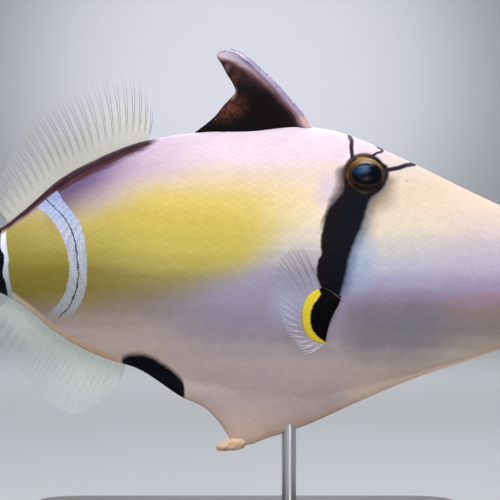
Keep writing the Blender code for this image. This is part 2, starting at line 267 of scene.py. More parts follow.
def addRods(name, material, paths, corners=6):
    # tapered rods as one mesh. A path is points with the rod's radius at each
    curve = bpy.data.curves.new(name, "CURVE")
    curve.dimensions = "3D"
    curve.bevel_depth = mm
    curve.bevel_resolution = corners // 2 - 2
    curve.use_fill_caps = True
    for points, radii in paths:
        spline = curve.splines.new("POLY")
        spline.points.add(len(points) - 1)
        places = np.column_stack([points * mm, np.ones(len(points))])
        spline.points.foreach_set("co", places.ravel())
        spline.points.foreach_set("radius", np.asarray(radii, float))
    holder = bpy.data.objects.new(name, curve)
    bpy.context.scene.collection.objects.link(holder)
    activate(holder)
    bpy.ops.object.convert(target="MESH")
    piece = named(name, material)
    editAll(weld(0.000003), outward)
    bpy.ops.object.shade_smooth()
    return piece


def handIn(piece, slot, *nodes):
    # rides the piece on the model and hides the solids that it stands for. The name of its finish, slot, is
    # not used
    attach(piece, "root")
    if nodes:
        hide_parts(*nodes)
    print(f"{piece.name}: {len(piece.data.polygons)} faces")


# Ways of making a finish

def rgb(*colour):
    # a colour as picked on a screen, from 0 to 255
    shares = [value / 255 for value in colour]
    return tuple(v / 12.92 if v <= 0.04045 else ((v + 0.055) / 1.055) ** 2.4 for v in shares)


class Wire:
    # a number, colour or vector on its way through a material

    def __init__(self, graph, socket):
        self.graph, self.socket = graph, socket

    def math(self, operation, *others, clamp=False, order=1):
        settings = {"operation": operation, "use_clamp": clamp}
        return self.graph.node("ShaderNodeMath", settings, dict(enumerate([self, *others][::order])))

    def __add__(self, other): return self.math("ADD", other)
    def __radd__(self, other): return self.math("ADD", other)
    def __sub__(self, other): return self.math("SUBTRACT", other)
    def __rsub__(self, other): return self.math("SUBTRACT", other, order=-1)
    def __mul__(self, other): return self.math("MULTIPLY", other)
    def __rmul__(self, other): return self.math("MULTIPLY", other)
    def __truediv__(self, other): return self.math("DIVIDE", other)
    def __pow__(self, other): return self.math("POWER", other)
    def __abs__(self): return self.math("ABSOLUTE")

    def least(self, other): return self.math("MINIMUM", other)
    def most(self, other): return self.math("MAXIMUM", other)

    def step(self, low, high):
        # 0 below low and 1 above high, with a soft change between them
        inputs = {"Value": self, "From Min": low, "From Max": high}
        return self.graph.node("ShaderNodeMapRange", {"interpolation_type": "SMOOTHSTEP"}, inputs)

    def window(self, low, rise, fall, high):
        # 1 between rise and fall, and 0 beyond low and high
        return self.step(low, rise) * (1 - self.step(fall, high))

    def curve(self, points):
        # a smooth curve through (in, out) points
        ins, outs = [p[0] for p in points], [p[1] for p in points]
        inLow, inSpan = min(ins), max(ins) - min(ins)
        outLow, outSpan = min(outs), max(max(outs) - min(outs), 1e-6)
        scaled = (self - inLow) / inSpan
        node = self.graph.tree.nodes.new("ShaderNodeFloatCurve")
        track = node.mapping.curves[0]
        for k, (a, b) in enumerate(sorted(points)):
            spot = ((a - inLow) / inSpan, (b - outLow) / outSpan)
            if k in (0, len(points) - 1):
                track.points[0 if k == 0 else -1].location = spot
            else:
                track.points.new(*spot)
        node.mapping.update()
        self.graph.join(scaled, node.inputs["Value"])
        return Wire(self.graph, node.outputs[0]) * outSpan + outLow


class Graph:
    # a material's nodes, ending in its Principled shader

    def __init__(self, name, **constants):
        self.material = bpy.data.materials.new(name)
        self.material.use_nodes = True
        self.tree = self.material.node_tree
        self.shader = self.tree.nodes["Principled BSDF"]
        for key, value in constants.items():
            self.shader.inputs[key.replace("_", " ")].default_value = value
        place = self.node("ShaderNodeTexCoord", {}, {}, "Object")
        self.place = self.node("ShaderNodeVectorMath", {"operation": "SCALE"}, {0: place, "Scale": 1000})
        self.x, self.y, self.z = (
            self.node("ShaderNodeSeparateXYZ", {}, {0: self.place}, axis) for axis in ("X", "Y", "Z")
        )

    def join(self, value, socket):
        if isinstance(value, Wire):
            self.tree.links.new(value.socket, socket)
        else:
            socket.default_value = value

    def node(self, kind, settings, inputs, output=0):
        made = self.tree.nodes.new(kind)
        for key, value in settings.items():
            setattr(made, key, value)
        for key, value in inputs.items():
            self.join(value, made.inputs[key])
        return Wire(self, made.outputs[output])

    def mix(self, share, low, high, blend="MIX"):
        # a colour that goes from low to high as share goes from 0 to 1. Plain colours run from 0 to 255
        made = self.tree.nodes.new("ShaderNodeMix")
        made.data_type = "RGBA"
        made.blend_type = blend
        self.join(share, made.inputs[0])
        for value, socket in ((low, made.inputs[6]), (high, made.inputs[7])):
            self.join(value if isinstance(value, Wire) else (*rgb(*value), 1), socket)
        return Wire(self, made.outputs[2])

    def ramp(self, value, stops):
        # a colour ramp whose stops are (value, red, green, blue), in the value's own units
        low, high = stops[0][0], stops[-1][0]
        made = self.tree.nodes.new("ShaderNodeValToRGB")
        made.color_ramp.interpolation = "EASE"
        elements = made.color_ramp.elements
        for k, (at, *colour) in enumerate(stops):
            spot = (at - low) / (high - low)
            element = elements[k] if k < 1 else (elements[-1] if k == len(stops) - 1 else elements.new(spot))
            element.position = spot
            element.color = (*rgb(*colour), 1)
        self.join((value - low) / (high - low), made.inputs[0])
        return Wire(self, made.outputs[0])

    def noise(self, size, detail=2, rough=0.5, stretch=None, where=None):
        # soft noise from 0 to 1 with features of about size millimetres
        where = where or self.place
        if stretch:
            where = self.node("ShaderNodeVectorMath", {"operation": "MULTIPLY"}, {0: where, 1: stretch})
        inputs = {"Vector": where, "Scale": 1.0 / size, "Detail": detail, "Roughness": rough}
        return self.node("ShaderNodeTexNoise", {}, inputs, "Fac")

    def wobble(self, amount, *args, **settings):
        # noise about 0, up to half the amount to either side
        return amount * (self.noise(*args, **settings) - 0.5)

    def cells(self, size, randomness=1):
        inputs = {"Vector": self.place, "Scale": 1.0 / size, "Randomness": randomness}
        return self.node("ShaderNodeTexVoronoi", {}, inputs, "Distance")

    def attribute(self, name):
        return self.node("ShaderNodeAttribute", {"attribute_name": name}, {}, "Fac")

    def stroke(self, points, width, soft):
        # 1 on a line through (x, z) points and 0 away from it
        nearest = None
        flat = self.node("ShaderNodeCombineXYZ", {}, {"X": self.x, "Y": self.z})
        for a, b in zip(points, points[1:]):
            run = Vector((b[0] - a[0], b[1] - a[1], 0))
            offset = self.node("ShaderNodeVectorMath", {"operation": "SUBTRACT"}, {0: flat, 1: (*a, 0)})
            along = self.node("ShaderNodeVectorMath", {"operation": "DOT_PRODUCT"}, {0: offset, 1: run}, 1)
            share = along.math("DIVIDE", run.length_squared, clamp=True)
            spot = self.node("ShaderNodeVectorMath", {"operation": "SCALE"}, {0: tuple(run), "Scale": share})
            gap = self.node("ShaderNodeVectorMath", {"operation": "DISTANCE"}, {0: offset, 1: spot}, 1)
            nearest = gap if nearest is None else nearest.least(gap)
        return 1 - nearest.step(width / 2 - soft / 2, width / 2 + soft / 2)

    def spot(self, at, radii, soft=1, tilt=0):
        # 1 in an ellipse round (x, z) that fades out to 0 at its edge
        c, s = math.cos(math.radians(tilt)), math.sin(math.radians(tilt))
        dx, dz = self.x - at[0], self.z - at[1]
        a, b = (dx * c + dz * s) / radii[0], (dz * c - dx * s) / radii[1]
        away = (a * a + b * b) ** 0.5
        return 1 - away.step(1 - soft, 1)

    def blot(self, colour, share, tint, *where):
        # a soft spot of another colour. Its place, radii, softness and tilt are a spot's
        return self.mix(self.spot(*where) * share, colour, tint)

    def bump(self, height, strength, distance, base=None):
        inputs = {"Height": height, "Strength": strength, "Distance": distance * mm}
        if base:
            inputs["Normal"] = base
        return self.node("ShaderNodeBump", {}, inputs)

    def finish(self, **outputs):
        for key, value in outputs.items():
            self.join(value, self.shader.inputs[key.replace("_", " ")])
        return self.material


# Markings

steep = 0.84  # turns a height below the back into a distance from its slope
marks = {  # bar, the painted shade behind it, bands and white lines as (z, x or width), the others as (x, z or depth)
    "barRear": [
        (66, 29), (69.8, 28.2), (73.4, 27.3), (76.9, 27.6), (79.4, 28.6), (83.1, 28.5), (86.6, 29.2),
        (90.1, 30.2), (93.7, 32.6), (97.6, 34.9), (101.6, 35), (104, 37),
    ],
    "barShadeWidth": [
        (84, 1.2), (88, 1.3), (90.6, 1.1), (91.9, 1.4), (93.3, 2.2), (96, 3.3), (97.4, 3.1), (98.7, 2.7),
        (101.4, 2.8), (105, 2.5),
    ],
    "barFront": [
        (62, 31.4), (64, 32.3), (65.4, 33.1), (67, 33.8), (68.6, 34.2), (70.4, 34.8), (72.3, 35.3),
        (76.2, 36), (80.1, 37), (83.6, 38.4), (87.3, 39.9), (90.9, 41), (94.4, 42.4), (97.6, 45),
        (101.3, 47.4), (104, 47),
    ],
    "bandFront": [
        (55, -46), (61.2, -41.3), (63.2, -39.5), (66.1, -37.7), (69.6, -36.4), (73, -36.1), (77.2, -36.1),
        (81.1, -36.4), (84.3, -36.9), (87.3, -37.9), (90.5, -40), (93.4, -42.4), (96.5, -44.4), (102, -48.5),
    ],
    "bandRear": [
        (55, -53), (62.6, -46.9), (64.6, -44.9), (67.7, -42.7), (71, -41.5), (75.2, -41), (78.3, -41.3),
        (81.7, -42.1), (84.6, -43.3), (87, -44.7), (89.8, -46.9), (92, -50), (98, -56),
    ],
    "bandLine": [
        (55, -49.4), (61.8, -43.8), (64.9, -41), (67.7, -39.7), (71, -38.7), (74.4, -38.5), (78.3, -38.8),
        (82.8, -39.5), (86.4, -40.7), (89.2, -42.4), (91.8, -44.9), (94.3, -47.7), (98, -51.5),
    ],
    "whiteFront": [
        (64, -56.8), (67.7, -57.3), (71, -57.7), (74.4, -58.2), (77.8, -58.1), (81.1, -58.7), (84.8, -58.9),
        (87.3, -58.2), (90, -57.4),
    ],
    "whiteRear": [
        (64, -58.4), (68, -58.6), (71.7, -59.2), (74.4, -59.7), (77.8, -59.3), (81.1, -60.4), (85.6, -60.4),
        (90, -60.2),
    ],
    "patchTop": [
        (-27.6, 44), (-26.7, 50.3), (-23.4, 51.6), (-18.8, 51), (-15.3, 49), (-11.6, 46.1), (-9.4, 43.3),
        (-8.6, 36),
    ],
    "browRear": [(36.7, 112.9), (37.4, 110.8), (37.2, 108.8), (37.4, 106)],
    "browMiddle": [(42.7, 106.1), (44.2, 107.2), (45.9, 107.7), (46.1, 108.2), (45, 108.9), (44.3, 109.8)],
    "browFront": [(46.6, 102.3), (50.4, 103.1), (52.6, 103.9), (54.9, 104.3)],
    "ridgeDepth": [
        (-64, 0.9), (-58, 1.4), (-52, 2.1), (-44, 3.5), (-34, 3.6), (-27, 3), (-22, 2.5), (-19, 1.7),
        (-16.5, 0.8),
    ],
    "yellowTop": [
        (-62, 88), (-48, 91), (-38, 90), (-29, 92.5), (-19, 97.5), (-9, 99.5), (0, 101),
        (10, 101.5), (20, 101), (34, 98),
    ],
    "yellowLow": [
        (-62, 64), (-48, 64), (-38, 64.5), (-29, 66), (-19, 68), (-9, 69.5), (0, 72),
        (10, 76.5), (20, 84), (34, 91),
    ],
}


def skinColours(g):
    # the fish's markings, the same on the skin and on its scales
    back = g.x.curve(bodyShape["back"])
    belly = g.x.curve(bodyShape["belly"])
    height = g.z + g.wobble(2.4, 9)
    fore = g.ramp(height, [
        (27, 220, 192, 176), (32, 204, 181, 172), (38, 192, 176, 175), (43, 210, 194, 193),
        (49, 208, 191, 190), (53, 188, 175, 178), (57, 168, 157, 169), (62, 158, 151, 170),
        (68, 164, 157, 180), (74, 168, 163, 182), (79, 190, 185, 186), (84, 220, 211, 196),
        (90, 233, 217, 192), (96, 231, 208, 178), (101, 217, 196, 184), (107, 214, 195, 205),
        (115, 210, 194, 208),
    ])
    rear = g.ramp(height, [
        (46, 222, 202, 194), (53, 212, 192, 182), (57, 198, 180, 174), (60.5, 176, 160, 154),
        (64, 156, 143, 134), (68, 150, 138, 112), (90, 196, 178, 150), (97, 198, 180, 172),
        (103, 192, 172, 188), (109, 200, 180, 198), (115, 200, 184, 204),
    ])
    head = g.ramp(height, [
        (43, 226, 204, 192), (47, 212, 194, 185), (51, 180, 169, 168), (55, 148, 142, 148),
        (59.5, 137, 133, 144), (64, 140, 130, 143), (67.5, 156, 144, 168), (71, 174, 168, 198),
        (76, 196, 192, 208), (81, 203, 200, 197), (86.5, 224, 210, 190), (92, 222, 204, 182),
        (98, 216, 196, 174), (104, 208, 194, 188), (112, 206, 196, 206),
    ])
    snout = g.ramp(height, [
        (45, 236, 220, 206), (50, 226, 211, 197), (54, 188, 174, 164), (59, 158, 144, 142),
        (63, 158, 140, 138), (66.5, 166, 140, 156), (70, 172, 158, 188), (76, 192, 184, 204),
        (82, 202, 191, 197), (87, 218, 200, 194), (93, 222, 202, 185), (101, 220, 202, 184),
    ])
    colour = g.mix(g.x.step(-26, 6), rear, fore)
    barMiddle = g.z.curve([(60, 33), (72, 33), (84, 36), (96, 40), (110, 47)])
    colour = g.mix((g.x - barMiddle).step(-4, 8), colour, head)
    colour = g.mix(g.x.step(54, 74), colour, snout)
    # a pale blue painted highlight on the cheek, painted shade with a yellow-grey tint below the eye, and
    # painted light that makes the breast pale
    colour = g.blot(colour, 0.7, (160, 178, 206), (39.6, 76.5), (5.6, 13.5), 0.9, -6)
    colour = g.blot(colour, 0.6, (124, 110, 90), (45.2, 95.5), (6.4, 6.6), 0.9)
    colour = g.blot(colour, 0.66, (194, 195, 226), (20.5, 64.5), (9, 9), 0.95)
    # yellow flank
    top, low = g.x.curve(marks["yellowTop"]), g.x.curve(marks["yellowLow"])
    yellow = (top - height).step(-6, 5) * (height - low).step(-5.5, 5.5)
    yellow = yellow * (1 - g.x.step(4, 32) * 0.9)
    deep = g.ramp(height + (g.x + 5) * 0.09, [
        (66, 142, 130, 84), (71, 158, 145, 84), (76, 188, 172, 92), (81, 201, 184, 93),
        (88, 206, 184, 89), (94, 213, 190, 107), (100, 214, 192, 150), (105, 210, 189, 178),
    ])
    stalk = g.ramp(height, [
        (60, 166, 152, 116), (66, 140, 126, 74), (70, 132, 119, 54), (74, 134, 120, 50),
        (78, 156, 142, 62), (82, 172, 160, 82), (88, 190, 172, 98), (94, 180, 162, 122),
    ])
    stalk = g.mix((1 - g.x.step(-58, -44)) * 0.5, stalk, (138, 124, 54))
    colour = g.mix(yellow, colour, g.mix(g.x.step(-46, -14), stalk, deep))
    # ridges that the soft fins stand on
    finSpan = g.x.window(-62.5, -60, -19.5, -15.5)
    slopeBack = (back - g.z) * steep
    depth = g.x.curve(marks["ridgeDepth"])
    below = 1 - (slopeBack - depth + g.wobble(1.6, 5, 3)).step(0, 10.5)
    below = below * g.x.step(-50, -42) * (1 - g.x.step(-36, -19) * 0.85)
    colour = g.mix(below, colour, g.mix(g.x.step(-42, -30), (96, 78, 112), (124, 100, 140)))
    lane = g.node("ShaderNodeCombineXYZ", {}, {"X": g.x * 0.16, "Y": slopeBack * 1.5, "Z": g.y * 0.3})
    streaks = g.noise(0.8, 3, 0.6, where=lane)
    share = slopeBack / depth.most(0.3) + 0.8 * (streaks - 0.5)
    maroon = g.ramp(share, [
        (-0.1, 124, 102, 110), (0.2, 62, 44, 54), (0.45, 44, 26, 34), (0.65, 74, 42, 44),
        (0.85, 78, 56, 74), (1.15, 116, 94, 124),
    ])
    ridge = slopeBack - depth + 1.6 * (streaks - 0.5) + g.wobble(0.7, 0.5, 3)
    colour = g.mix((1 - ridge.step(-0.7, 1.1)) * finSpan, colour, maroon)
    hem = (1 - ((g.z - belly) * steep).step(1.2, 2.6)) * (1 - g.x.step(-31, -25))
    colour = g.mix(hem, colour, g.mix(g.x.step(-56, -40), (208, 190, 170), (214, 178, 148)))
    edge = (1 - (g.z - belly).step(0.5, 3.5)) * g.x.step(-26, -20)
    colour = g.mix(edge * 0.6, colour, (214, 186, 164))

    def past(name, jag, soft=0.25):  # 1 in front of a line that runs up the flank
        return (g.x + jag - g.z.curve(marks[name])).step(-soft, soft)

    # pale blue bands and the black end of the tail stalk
    jag = g.wobble(0.9, 0.75)
    band = past("bandRear", jag) * (1 - past("bandFront", jag))
    band = band * g.z.step(60.3, 64) * slopeBack.step(2.2, 2.8)
    blue = g.ramp(g.z, [
        (60, 178, 172, 180), (68, 170, 176, 176), (78, 192, 198, 206), (86, 208, 214, 234),
        (91, 186, 198, 230), (96, 160, 172, 212),
    ])
    beads = g.cells(0.52, randomness=0.35).step(0.32, 0.58)
    blue = g.mix(beads * (0.3 + 0.45 * g.z.step(66, 86)), blue, g.mix(0.55, blue, (84, 98, 142)))
    colour = g.mix(band, colour, blue)
    thread = g.x + g.wobble(0.9, 1) - g.z.curve(marks["bandLine"])
    thread = 1 - abs(thread).step(0.08, 0.3)
    colour = g.mix(thread * g.z.step(60.6, 62.4) * slopeBack.step(1.8, 2.6), colour, (40, 46, 60))
    rearJag = g.wobble(0.5, 1.8)
    white = (1 - past("whiteFront", rearJag)) * slopeBack.step(1.2, 2.4)
    colour = g.mix(white, colour, g.ramp(g.z, [(66, 158, 172, 178), (86, 226, 232, 248)]))
    stalkEnd = g.x + g.wobble(0.6, 2.2)
    black = (1 - past("whiteRear", rearJag, 0.2)) * stalkEnd.step(-76.4, -75.6)
    colour = g.mix(black, colour, (6, 8, 15))
    colour = g.mix(1 - stalkEnd.step(-76.6, -76), colour, (182, 186, 190))
    # black patch at the belly, the bar below the eye and the lines over the brow
    patch = (g.x.curve(marks["patchTop"]) + g.wobble(0.8, 1.8) - g.z).step(-0.9, 1.3)
    patch = patch * g.x.window(-27.4, -26.2, -9.6, -8.8)
    colour = g.mix(patch, colour, g.mix(g.noise(3), (7, 7, 13), (20, 20, 34)))
    barJag = g.x + g.wobble(0.9, 1.7)
    behind = g.z.curve(marks["barRear"]) - barJag
    ahead = barJag - g.z.curve(marks["barFront"])
    inFront = 1 - ahead.step(-0.8, 0.6)
    bar = (1 - behind.step(-0.4, 0.4)) * inFront
    # painted shade behind the bar's rear edge, fading out over its width
    barShade = (behind / g.z.curve(marks["barShadeWidth"])).most(0).least(1)
    barShade = (1 - barShade * barShade) * inFront * g.z.window(84, 89.5, 102.5, 104.5)
    colour = g.blot(colour, 0.5, (190, 180, 226), (30.5, 96.5), (5.5, 8), 0.95, -20)
    colour = g.mix(barShade * 0.88, colour, (30, 14, 42))
    # painted shade just in front of the bar, beside and below the eye
    barFrontShade = ahead.window(-1.5, -0.5, 0.5, 6) * g.z.window(80, 85, 99, 102)
    colour = g.mix(barFrontShade * 0.42, colour, (110, 100, 84))
    fringe = ahead.window(-1.5, -0.5, 0, 3.4) * g.z.window(66, 70, 98, 102)
    fringeTint = g.mix(g.z.step(84, 92), (70, 92, 140), (84, 82, 98))
    colour = g.mix(fringe * 0.65, colour, fringeTint)
    bar = bar * g.z.window(63.4, 64.2, 103.6, 104.6)
    violet = g.mix((g.x - g.z.curve(marks["barRear"])).step(0.5, 5.5), (17, 9, 15), (7, 10, 23))
    colour = g.mix(bar, colour, violet)
    ringTint = g.mix((g.z - 0.8 * (g.x - 40.8)).step(102.5, 107), (8, 7, 12), (74, 50, 44))
    colour = g.mix(g.spot(eyeShape["middle"], (6.65, 6.6), 0.14), colour, ringTint)
    brow = g.stroke(marks["browRear"], 1.15, 0.5)
    brow = brow.most(g.stroke(marks["browMiddle"], 0.7, 0.35))
    brow = brow.most(g.stroke(marks["browFront"], 1.25, 0.5))
    # strokes that run on over the back to the other side
    cross = g.stroke([(36.9, 114.5), (36.9, 111)], 1.1, 0.5)
    cross = cross.most(g.stroke([(45, 112.5), (45.2, 109.8)], 0.9, 0.4))
    cross = cross.most(g.stroke([(54.9, 107), (54.9, 104.4)], 1, 0.4))
    return g.mix(brow.most(cross * (1 - slopeBack.step(0.9, 2.6))), colour, (38, 24, 46))


def skinMaterial(name, scaled):
    g = Graph(name, Specular_IOR_Level=0.06)
    colour = skinColours(g)
    colour = g.mix(g.noise(2.6, 3) * 0.14, colour, (186, 180, 186), "MULTIPLY")
    grain = g.cells(0.42)
    if scaled:
        tone, rim = g.attribute("tone"), g.attribute("rim")
        colour = g.mix(tone * 0.1, colour, (176, 170, 180), "MULTIPLY")
        # darker towards each plate's rim and skirt: partly the plates' darker outlines, partly painted shade
        # in the grooves between them
        colour = g.mix((1 - rim.step(0.1, 1)) * 0.1, colour, (150, 144, 152), "MULTIPLY")
    else:
        lipTone = g.mix(g.noise(1.5, 3), (214, 184, 174), (236, 216, 208))
        colour = g.mix(g.x.step(104.2, 106.4) * 0.75, colour, lipTone)
        inside = (1 - (g.x + 0.35 * abs(g.z - mouthHeight)).step(108.3, 109.7)) * g.x.step(100, 101)
        core = 1 - ((g.y * g.y / 17) + (g.z - mouthHeight) ** 2 / 5.2).step(0.9, 1.15)
        colour = g.mix(inside * core, colour, (92, 44, 46))
    normal = g.bump(grain, 0.3, 0.05)
    normal = g.bump(g.noise(0.8, 4), 0.2, 0.05, normal)
    return g.finish(Base_Color=colour, Roughness=0.42 + 0.14 * g.noise(1.2), Normal=normal)


def mottledMaterial(name, tints, size, rough, relief=None, **constants):
    # a finish that wanders between two tints. Rough is its least, its spread and the size of its spots
    g = Graph(name, **constants)
    colour = g.mix(g.noise(*size), *tints)
    least, spread, spots = rough
    outputs = {"Base_Color": colour, "Roughness": least + spread * g.noise(spots)}
    if relief:
        outputs["Normal"] = relief(g)
    return g.finish(**outputs)


# Camera, light and floor

view = {
    "centre": (9.1, 0, 80.3), "distance": 800, "frame": 140, "world": 0.16,
    "lamps": {  # place, aim, size, power, tint
        "keyLight": ((30, -250, 680), (15, 0, 85), 420, 5.05, (1, 0.985, 0.975)),
        "fillLight": ((-480, -700, 380), (0, 0, 75), 460, 1.3, (0.92, 0.95, 1)),
        "rimLight": ((60, 300, 430), (10, 0, 80), 300, 1.2, (0.96, 0.97, 1)),
        "floorLight": ((0, 980, 760), (0, 980, 0), 720, 3.3, (0.98, 0.99, 1)),
    },
    "cones": {  # place, aim, angle, power, tint, radius
        "backdropLight": ((4, 1150, 1100), (4, 2100, 290), 27, 53, (0.95, 0.9, 1), 50),
        "lowLight": ((160, -780, 210), (10, 0, 62), 40, 7.8, (1, 0.96, 0.93), 130),
    },
    "cove": {"floor": 1750, "bend": 400, "wall": 1900},
}


def addLamp(kind, name, at, aim, power, tint):
    light = bpy.data.lights.new(name, kind)
    light.energy, light.color = power, tint
    lamp = bpy.data.objects.new(name, light)
    lamp.location = Vector(at) * mm
    lamp.rotation_euler = (Vector(aim) - Vector(at)).to_track_quat("-Z", "Y").to_euler()
    lamp.visible_camera = False
    bpy.context.scene.collection.objects.link(lamp)
    return light


def addStudio():
    scene = bpy.context.scene
    scene.view_settings.view_transform = "Standard"
    camera = bpy.data.objects.new("camera", bpy.data.cameras.new("camera"))
    scene.collection.objects.link(camera)
    x, y, z = view["centre"]
    camera.location = Vector((x, y - view["distance"], z)) * mm
    camera.rotation_euler = (math.radians(90), 0, 0)
    camera.data.sensor_width = 36
    camera.data.lens = 36 * view["distance"] / view["frame"]
    camera.data.clip_start = 0.02
    scene.camera = camera
    for name, (at, aim, size, power, tint) in view["lamps"].items():
        light = addLamp("AREA", name, at, aim, power, tint)
        light.shape = "DISK"
        light.size = size * mm
    for name, (at, aim, angle, power, tint, radius) in view["cones"].items():
        light = addLamp("SPOT", name, at, aim, power, tint)
        light.spot_size, light.spot_blend, light.shadow_soft_size = math.radians(angle), 1, radius * mm
    world = bpy.data.worlds.new("world")
    world.use_nodes = True
    world.node_tree.nodes["Background"].inputs[0].default_value = (0.88, 0.92, 0.98, 1)
    world.node_tree.nodes["Background"].inputs[1].default_value = view["world"]
    scene.world = world

    # the floor and its walls glow faintly, a painted light, and are painted darker near the middle, a painted
    # shade that evens out the lamps' light on the floor
    pale = Graph("paleFloor", Roughness=0.8, Specular_IOR_Level=0.2, Emission_Strength=0.08)
    away = (pale.x * pale.x + pale.y * pale.y) ** 0.5
    near = pale.mix(pale.noise(300), (152, 155, 159), (158, 161, 165))
    pale.shader.inputs["Emission Color"].default_value = (*rgb(244, 248, 252), 1)
    pale.finish(Base_Color=pale.mix(away.step(200, 1000), near, (198, 201, 205)))

    def cove(u, v):  # a round floor that bends up into a wall on every side
        floor, bend, wall = (view["cove"][k] for k in ("floor", "bend", "wall"))
        run = u * (floor + bend * math.pi / 2 + wall)
        turn = np.clip((run - floor) / bend, 0, math.pi / 2)
        reach = np.minimum(run, floor) + bend * np.sin(turn)
        z = bend * (1 - np.cos(turn)) + np.clip(run - floor - bend * math.pi / 2, 0, None)
        return np.stack([reach * np.cos(2 * math.pi * v), reach * np.sin(2 * math.pi * v), z], axis=-1)

    floor = addGrid("floor", pale.material, 90, 96, cove, closeAround=True)


# Skin from the tail stalk to the mouth's inside

skinShape = {
    "bodyRings": 268, "tailRings": 10, "lipRings": 40, "around": 244,
    "inset": 0.28,  # depth of the scales over it
    "bareSnout": (99.5, 103.6), "bareTail": (-81, -77),
    "hollow": (3, 4.4, 5.1),  # depth behind the eye, and the radii between which it ends
    "rim": (0.25, 6.1, 1.2),  # height, radius and width of the swelling round the eye
    "ridge": 0.22,  # height of the ridge that the rear dorsal fin stands on
    "gillSlit": {"at": (31.4, 67.6), "turn": (0.83, 0.55), "depth": 0.35, "width": 1.1, "ends": (1.6, 3.4)},
    "nostrils": [  # x, z, depth and width, then the height, radius and width of the rim
        (50.6, 100.3, 0.35, 0.5, 0.16, 1, 0.35), (52.6, 99.3, 0.5, 0.45, 0.14, 0.95, 0.3),
    ],
    "tail": {"reach": 6.4, "thin": 0.86, "taller": 0.2, "middle": 76.7},
    "lips": [  # x, half width, half height, from the snout over the lips and into the mouth
        (104.3, 6.9, 7.8), (105.1, 6.5, 7.25), (106, 6.55, 7.35), (107.5, 6.75, 7.65), (109, 6.25, 7),
        (110, 5.5, 5.7), (110.3, 4.9, 4.4), (110, 4.5, 3.1), (109, 4.2, 2.3), (107.6, 4.05, 2),
        (105, 4, 2.1), (101, 3, 1.6), (99.6, 0.05, 0.05),
    ],
    "corner": 2.6,  # how far back the mouth's corners sit
    "creases": (0.1, 26, 0.36, 0.14),  # depth, number, and their middle and width along the lips
    "pinch": 0.45, "droop": 0.35,
}
skinRings = skinShape["tailRings"] + skinShape["bodyRings"] + skinShape["lipRings"]


def skinRelief(points):
    # how far the bare skin stands out at these points
    shape = skinShape
    x, z = points[:, 0], points[:, 2]
    height, radius, width = shape["rim"]
    lift = height * bell(eyeDistance(points), radius, width)
    crest = 1 - smooth(0.6, 3.2, line["back"](x) - z)
    lift = lift + shape["ridge"] * (crest * smooth(-62, -58, x) * (1 - smooth(-22, -18, x)))
    slit = shape["gillSlit"]
    (slitX, slitZ), (c, s) = slit["at"], slit["turn"]
    across, reach = (x - slitX) * s + (z - slitZ) * c, np.abs((x - slitX) * c - (z - slitZ) * s)
    lift = lift - slit["depth"] * bell(across, 0, slit["width"]) * (1 - smooth(*slit["ends"], reach))
    for atX, atZ, depth, width, rimHeight, rimRadius, rimWidth in shape["nostrils"]:
        away = np.hypot(x - atX, z - atZ)
        lift = lift - depth * bell(away, 0, width) + rimHeight * bell(away, rimRadius, rimWidth)
    return lift


def lipPlace(t, turn):
    shape = skinShape
    lipX, lipW, lipH = alongLine(shape["lips"], t)
    pull = shape["corner"] * np.abs(np.sin(turn)) ** 5 * smooth(0.1, 0.45, t) * (1 - smooth(0.75, 0.95, t))
    deep, count, middle, width = shape["creases"]
    crease = deep * np.sin(turn * count) * bell(t, middle, width) * np.abs(np.cos(turn))
    pinch = smooth(0.35, 0.6, t) * np.abs(np.sin(turn)) ** 3 * (1 - smooth(0.8, 1, t))
    droop = shape["droop"] * np.sin(math.pi * np.clip(t / 0.5, 0, 1)) * (np.cos(turn) < 0)
    return np.stack([
        lipX - pull - droop,
        (lipW + crease) * np.sin(turn),
        mouthHeight + (lipH + crease) * np.cos(turn) * (1 - shape["pinch"] * pinch),
    ], axis=-1)


def skinPlace(u, v):
    shape, tail = skinShape, skinShape["tail"]
    ring, turn = u * skinRings, 2 * math.pi * v
    toTail = 1 - ring / shape["tailRings"]
    tailX = tailEnd - tail["reach"] * smooth(0, 1, toTail) ** 0.8
    bodyX = tailEnd + (mouthRoot - tailEnd) * (ring - shape["tailRings"]) / shape["bodyRings"]
    x = np.where(toTail > 0, tailX, np.minimum(bodyX, mouthRoot))
    points = bodyPoint(np.clip(x, tailEnd, mouthRoot), turn)
    normal = bodyNormal(np.clip(x, tailEnd + 0.5, mouthRoot - 0.5), turn)
    # the scales' depth, less where the skin is bare, and a hollow behind each eye
    depth = shape["inset"] * (1 - smooth(*shape["bareSnout"], x)) * smooth(*shape["bareTail"], x)
    hollow, inner, outer = shape["hollow"]
    depth = depth + hollow * (1 - smooth(inner, outer, eyeDistance(points)))
    points = points + normal * (skinRelief(points) - depth)[:, None]
    # tail end, pressed flat onto the fin's rays
    flat = smooth(0, 1, toTail)
    z = tail["middle"] + (points[:, 2] - tail["middle"]) * (1 + tail["taller"] * flat)
    end = np.column_stack([x, points[:, 1] * (1 - tail["thin"] * flat), z])
    end = np.where((ring < 0.5)[:, None], np.column_stack([x - 0.1, 0 * x, z]), end)
    points = np.where((toTail > 0)[:, None], end, points)
    t = (ring - shape["tailRings"] - shape["bodyRings"]) / shape["lipRings"]
    return np.where((t > 0)[:, None], lipPlace(t, turn), points)


def addSkin():
    finish = skinMaterial("skin", False)
    skin = addGrid("skin", finish, skinRings, skinShape["around"], skinPlace, closeAround=True)
    skin.data.uv_layers[0].name = "OFBake"
    handIn(skin, "yellow_skin", "head", "trunk", "tail_stalk", "upper_lip", "lower_lip")


# Scales, a lattice of small plates on each side

